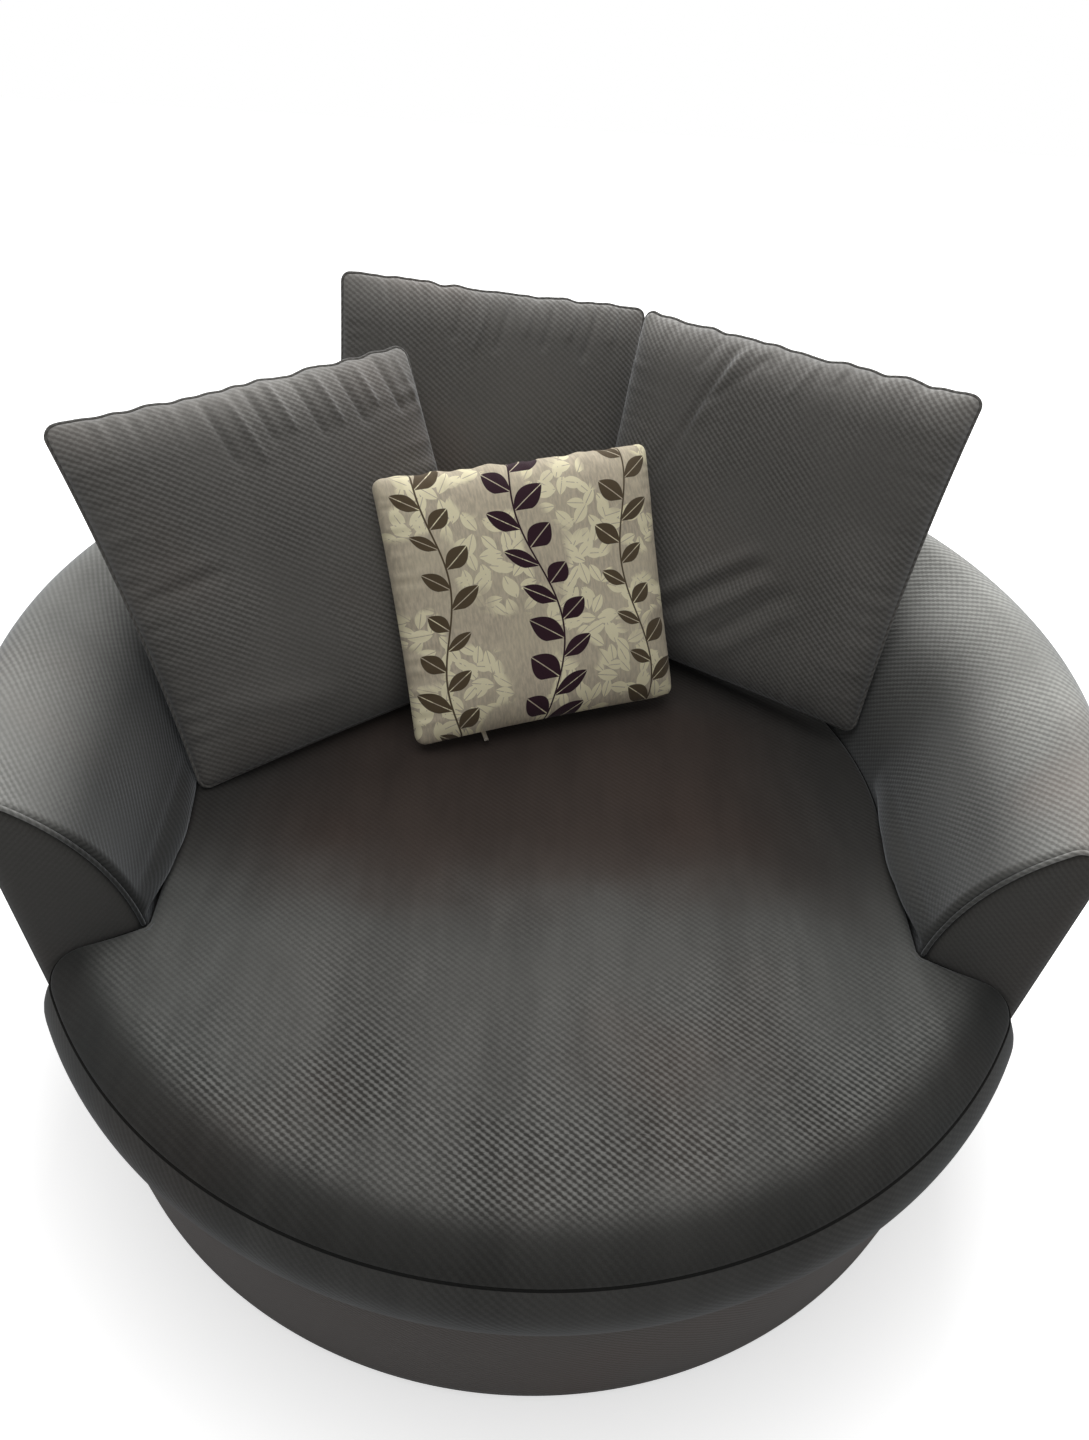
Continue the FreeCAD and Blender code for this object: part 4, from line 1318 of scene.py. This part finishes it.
class CHAIR_OT_drum(Operator):
    """Cover the round base"""

    bl_idname = "chair.drum"
    bl_label = "Base drum"

    def execute(self, context):
        low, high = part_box("drum_cover")
        top_r, bottom_r, cloth_r = high.x, 0.705, 0.715

        def skin(u, v):
            azimuth = TURN * u - math.pi / 2
            z = lerp(low.z, high.z, v)
            radius = lerp(bottom_r, top_r, (z - low.z) / (high.z - low.z))
            return polar(radius, azimuth, z), (cloth_r * azimuth, z)

        mesh = bmesh.new()
        add_grid(mesh, 360, 24, skin)
        close_seams(mesh)
        piece = make_piece(mesh, "drum_skin", "chenille_drum", "swivel_frame", ("drum_cover",))
        cloth_t = context.scene.chair_arms.cloth_t
        stretch_cloth(piece, cloth_t)
        return {"FINISHED"}


class SeatForm:
    """The seat cushion's surfaces over its outline; each gives a point and its cloth coordinates."""

    inner_ring = 0.30
    edge_rows, field_rows, middle_rows, band_rows = 8, 46, 26, 14
    rows = edge_rows + field_rows + middle_rows
    front_rounding = 0.003
    side_r, front_width = 0.62, 0.10
    cord_front_r, cord_front_width = 0.69, 0.03

    def __init__(self, arms, seat):
        self.seat = seat
        self.outline = SeatOutline(arms, seat)
        self.cord_r = 0.75 * arms.piping_r

    def frontness(self, point):
        """1 on the front arc and the ears, 0 along the arms and behind."""
        return smooth((point.length - self.side_r) / self.front_width)

    def rounding_at(self, point):
        return lerp(self.seat.side_round, self.front_rounding, self.frontness(point))

    def swollen(self, point, z):
        return point * (1 + seat_swell(self.seat, z) * self.frontness(point) / point.length)

    def top(self, u, v):
        """Rows along the rounded edge, then in to a ring, then to the middle."""
        row = v * self.rows
        point, out, _ = self.outline.at(u)
        inset = self.seat.side_round * min(row / self.edge_rows, 1.0) ** 1.5
        start = point - out * inset
        past_edge = row - self.edge_rows
        if past_edge > 0:
            ring = self.outline.inward(u) * self.inner_ring
            start = lerp(start, ring, min(past_edge / self.field_rows, 1.0))
            if past_edge > self.field_rows:
                start = ring * (1 - (past_edge - self.field_rows) / self.middle_rows)
        drop = edge_drop(inset, self.rounding_at(point))
        height = seat_top(self.seat, start.x, start.y) - drop
        return Vector((start.x, start.y, height)), tuple(start)

    def band(self, u, v):
        point, _, go = self.outline.at(u)
        high = seat_top(self.seat, point.x, point.y) - self.rounding_at(point)
        z = lerp(high, self.seat.low_z, v)
        grown = self.swollen(point, z)
        return Vector((grown.x, grown.y, z)), (go, z)

    def underside(self, u, v):
        grown = self.swollen(self.outline.at(u)[0], self.seat.low_z) * (1 - v)
        return Vector((grown.x, grown.y, self.seat.low_z)), tuple(grown)

    def cord(self, share):
        """The piping, drawn inwards along the arms, where the seam has no room outside."""
        point, out, _ = self.outline.at(share % 1.0)
        front = smooth((point.length - self.cord_front_r) / self.cord_front_width)
        inward = lerp(1.1, 0.0, front)
        place = point - out * self.cord_r * inward
        drop = self.rounding_at(point) * lerp(0.5, 1.0, self.frontness(point))
        return Vector((place.x, place.y, seat_top(self.seat, point.x, point.y) - drop))


class CHAIR_OT_seat(Operator):
    """Make the seat cushion with its piping"""

    bl_idname = "chair.seat"
    bl_label = "Seat cushion"

    def execute(self, context):
        form = SeatForm(context.scene.chair_arms, context.scene.chair_seat)
        columns = 520
        mesh = bmesh.new()
        add_grid(mesh, columns, form.rows, form.top)
        add_grid(mesh, columns, form.band_rows, form.band)
        add_grid(mesh, columns, 3, form.underside)
        finish_closed(mesh)
        nodes = ("seat_cushion_cover", "seat_cushion_foam")
        piece = make_piece(mesh, "seat_pad", "chenille_seat", "seat_cushion", nodes)

        cord = bmesh.new()
        tube(cord, form.cord, columns, form.cord_r, lambda share: UP, sides=8)
        finish_closed(cord)
        # The piping's finish is painted near black for the shadow in the gaps.
        make_piece(cord, "seat_trim", "chenille_seam", "seat_cushion", ("seat_cushion_piping",))
        return {"FINISHED"}


TOP, BOTTOM, RIGHT, LEFT = range(4)

# Each fold is a line from x, y to x, y, its width and its height
LEFT_FOLDS = slanted(10, -0.08, 0.25, 0.275, 0.018, 0.100, 0.0056, 0.0068, 1.0) + (
    (-0.25, 0.02, -0.13, 0.03, 0.010, -0.003),
    (-0.25, 0.04, -0.14, 0.05, 0.014, 0.002),
    (0.10, -0.05, 0.22, -0.10, 0.020, 0.004),
    (-0.20, -0.16, -0.02, -0.20, 0.022, 0.003),
)
RIGHT_FOLDS = slanted(5, -0.12, 0.10, 0.270, -0.020, 0.050, 0.0055, 0.0028, 2.0) + (
    (-0.085, 0.27, -0.14, 0.10, 0.008, -0.0065),
    (-0.066, 0.27, -0.115, 0.13, 0.010, 0.0045),
    (-0.030, 0.26, -0.105, 0.17, 0.008, -0.0055),
    (-0.14, 0.10, -0.20, -0.02, 0.014, -0.004),
    (-0.127, -0.174, 0.051, -0.028, 0.014, 0.0065),
    (-0.10, -0.185, 0.07, -0.045, 0.012, -0.0065),
    (-0.065, -0.20, 0.085, -0.065, 0.013, 0.0065),
    (-0.002, -0.20, 0.12, -0.075, 0.012, -0.0055),
    (0.02, -0.22, 0.14, -0.10, 0.014, 0.004),
)
CENTRE_FOLDS = slanted(8, -0.04, 0.23, 0.274, -0.028, 0.090, 0.0055, 0.0042, 3.0)

BACK_CUSHIONS = {
    "left": {
        "ears": ((-0.016, 0.015, 0.006), (0.000, 0.011, 0.006)),
        "draws": (0.010, 0.004),
        "fullness": 3.0,
        "folds": LEFT_FOLDS,
        "gathers": (
            (TOP, -0.95, 0.95, 0.10, 0.0028, 0.050),
            (RIGHT, -0.3, 0.9, 0.14, 0.003, 0.055),
            (BOTTOM, -0.9, 0.9, 0.10, 0.002, 0.06),
            (LEFT, -0.9, 0.9, 0.10, 0.0025, 0.06),
        ),
    },
    "right": {
        "ears": ((0.000, 0.012, 0.011), (0.000, 0.020, -0.002)),
        "draws": (0.002, 0.008),
        "fullness": 5.0,
        "folds": RIGHT_FOLDS,
        "gathers": (
            (TOP, -0.9, 0.9, 0.12, 0.0030, 0.055),
            (RIGHT, -0.9, 0.9, 0.10, 0.0025, 0.06),
            (BOTTOM, -0.9, 0.9, 0.12, 0.003, 0.06),
            (LEFT, -0.9, 0.9, 0.12, 0.003, 0.06),
        ),
    },
    "centre": {
        "ears": ((0.000, 0.000, 0.000), (0.000, 0.030, -0.010)),
        "draws": (0.004, 0.004),
        "fullness": 3.6,
        "folds": CENTRE_FOLDS,
        "gathers": (
            (TOP, -0.9, 0.95, 0.12, 0.003, 0.045),
            (LEFT, -0.9, 0.9, 0.10, 0.0025, 0.06),
        ),
    },
}


def make_cushion(name, form, place, columns, material):
    """The padded piece that stands for a cushion's cover and its filling."""
    body = f"{name}_cushion"
    mesh = cushion_mesh(form, place, columns)
    piece = make_piece(mesh, f"{name}_pad", material, body, (f"{body}_cover", f"{body}_filling"))


def cushion_settings(sizes, name):
    return [getattr(sizes, f"{name}_{word}") for word in ("size", "base", "turn")]


class CHAIR_OT_back_cushions(Operator):
    """Make the three charcoal cushions against the back"""

    bl_idname = "chair.back_cushions"
    bl_label = "Back cushions"

    def execute(self, context):
        sizes = context.scene.chair_cushions
        cord_r, seed_step = 0.0032, 11.0
        for index, (name, look) in enumerate(BACK_CUSHIONS.items()):
            size, base, turn = cushion_settings(sizes, name)
            form = CushionForm(size, sizes, seed=seed_step * index, **look)
            place = cushion_place(size, base, turn)
            make_cushion(name, form, place, 170, "chenille")
            cord = bmesh.new()
            seam_cord(cord, form, place, cord_r)
            finish_closed(cord)
            make_piece(cord, f"{name}_trim", "chenille", f"{name}_cushion", ())
        return {"FINISHED"}


class CHAIR_OT_patterned_cushion(Operator):
    """Make the small printed cushion"""

    bl_idname = "chair.patterned_cushion"
    bl_label = "Patterned cushion"

    def execute(self, context):
        sizes = context.scene.chair_cushions
        size, base, turn = cushion_settings(sizes, "patterned")
        gathers = (
            (TOP, -0.95, 0.95, 0.08, 0.0036, 0.06),
            (BOTTOM, -0.95, 0.95, 0.08, 0.003, 0.06),
            (LEFT, -0.95, 0.95, 0.09, 0.0042, 0.05),
            (RIGHT, -0.95, 0.95, 0.08, 0.003, 0.06),
        )
        ears = ((0.002, 0.002, 0.003), (0.002, 0.010, 0.003))
        form = CushionForm(
            size, sizes, gathers=gathers, seed=47.0, ears=ears, draws=(0.005, 0.005),
            corner=0.09, fullness=5.0, back=2.4,
        )
        place = cushion_place(size, base, turn)
        make_cushion("patterned", form, place, 100, "leaf_print")
        return {"FINISHED"}


class CHAIR_PT_sidebar(Panel):
    """The chair's parts and sizes"""

    bl_label = "Round Swivel Chair"
    bl_idname = "CHAIR_PT_sidebar"
    bl_space_type = "VIEW_3D"
    bl_region_type = "UI"
    bl_category = "Chair"

    def draw(self, context):
        for operator in OPERATORS:
            self.layout.operator(operator.bl_idname)
        for name in SETTINGS:
            group = getattr(context.scene, name)
            box = self.layout.box()
            for key in group.__annotations__:
                box.prop(group, key)


SETTINGS = {
    "chair_arms": ArmSizes,
    "chair_seat": SeatSizes,
    "chair_cushions": CushionSizes,
    "chair_colours": ClothColours,
    "chair_stage": StageSizes,
}
OPERATORS = (
    CHAIR_OT_stage,
    CHAIR_OT_finishes,
    CHAIR_OT_arms,
    CHAIR_OT_facings,
    CHAIR_OT_drum,
    CHAIR_OT_seat,
    CHAIR_OT_back_cushions,
    CHAIR_OT_patterned_cushion,
)


def register():
    for group in SETTINGS.values():
        bpy.utils.register_class(group)
    for kind in (*OPERATORS, CHAIR_PT_sidebar):
        bpy.utils.register_class(kind)
    for name, group in SETTINGS.items():
        setattr(bpy.types.Scene, name, bpy.props.PointerProperty(type=group))


def unregister():
    for name in SETTINGS:
        delattr(bpy.types.Scene, name)
    for kind in (CHAIR_PT_sidebar, *reversed(OPERATORS)):
        bpy.utils.unregister_class(kind)
    for group in reversed(SETTINGS.values()):
        bpy.utils.unregister_class(group)


def main():
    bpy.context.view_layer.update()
    register()
    bpy.ops.chair.stage()
    bpy.ops.chair.finishes()
    bpy.ops.chair.arms()
    bpy.ops.chair.facings()
    bpy.ops.chair.drum()
    bpy.ops.chair.seat()
    bpy.ops.chair.back_cushions()
    bpy.ops.chair.patterned_cushion()


if __name__ == "__main__":
    main()
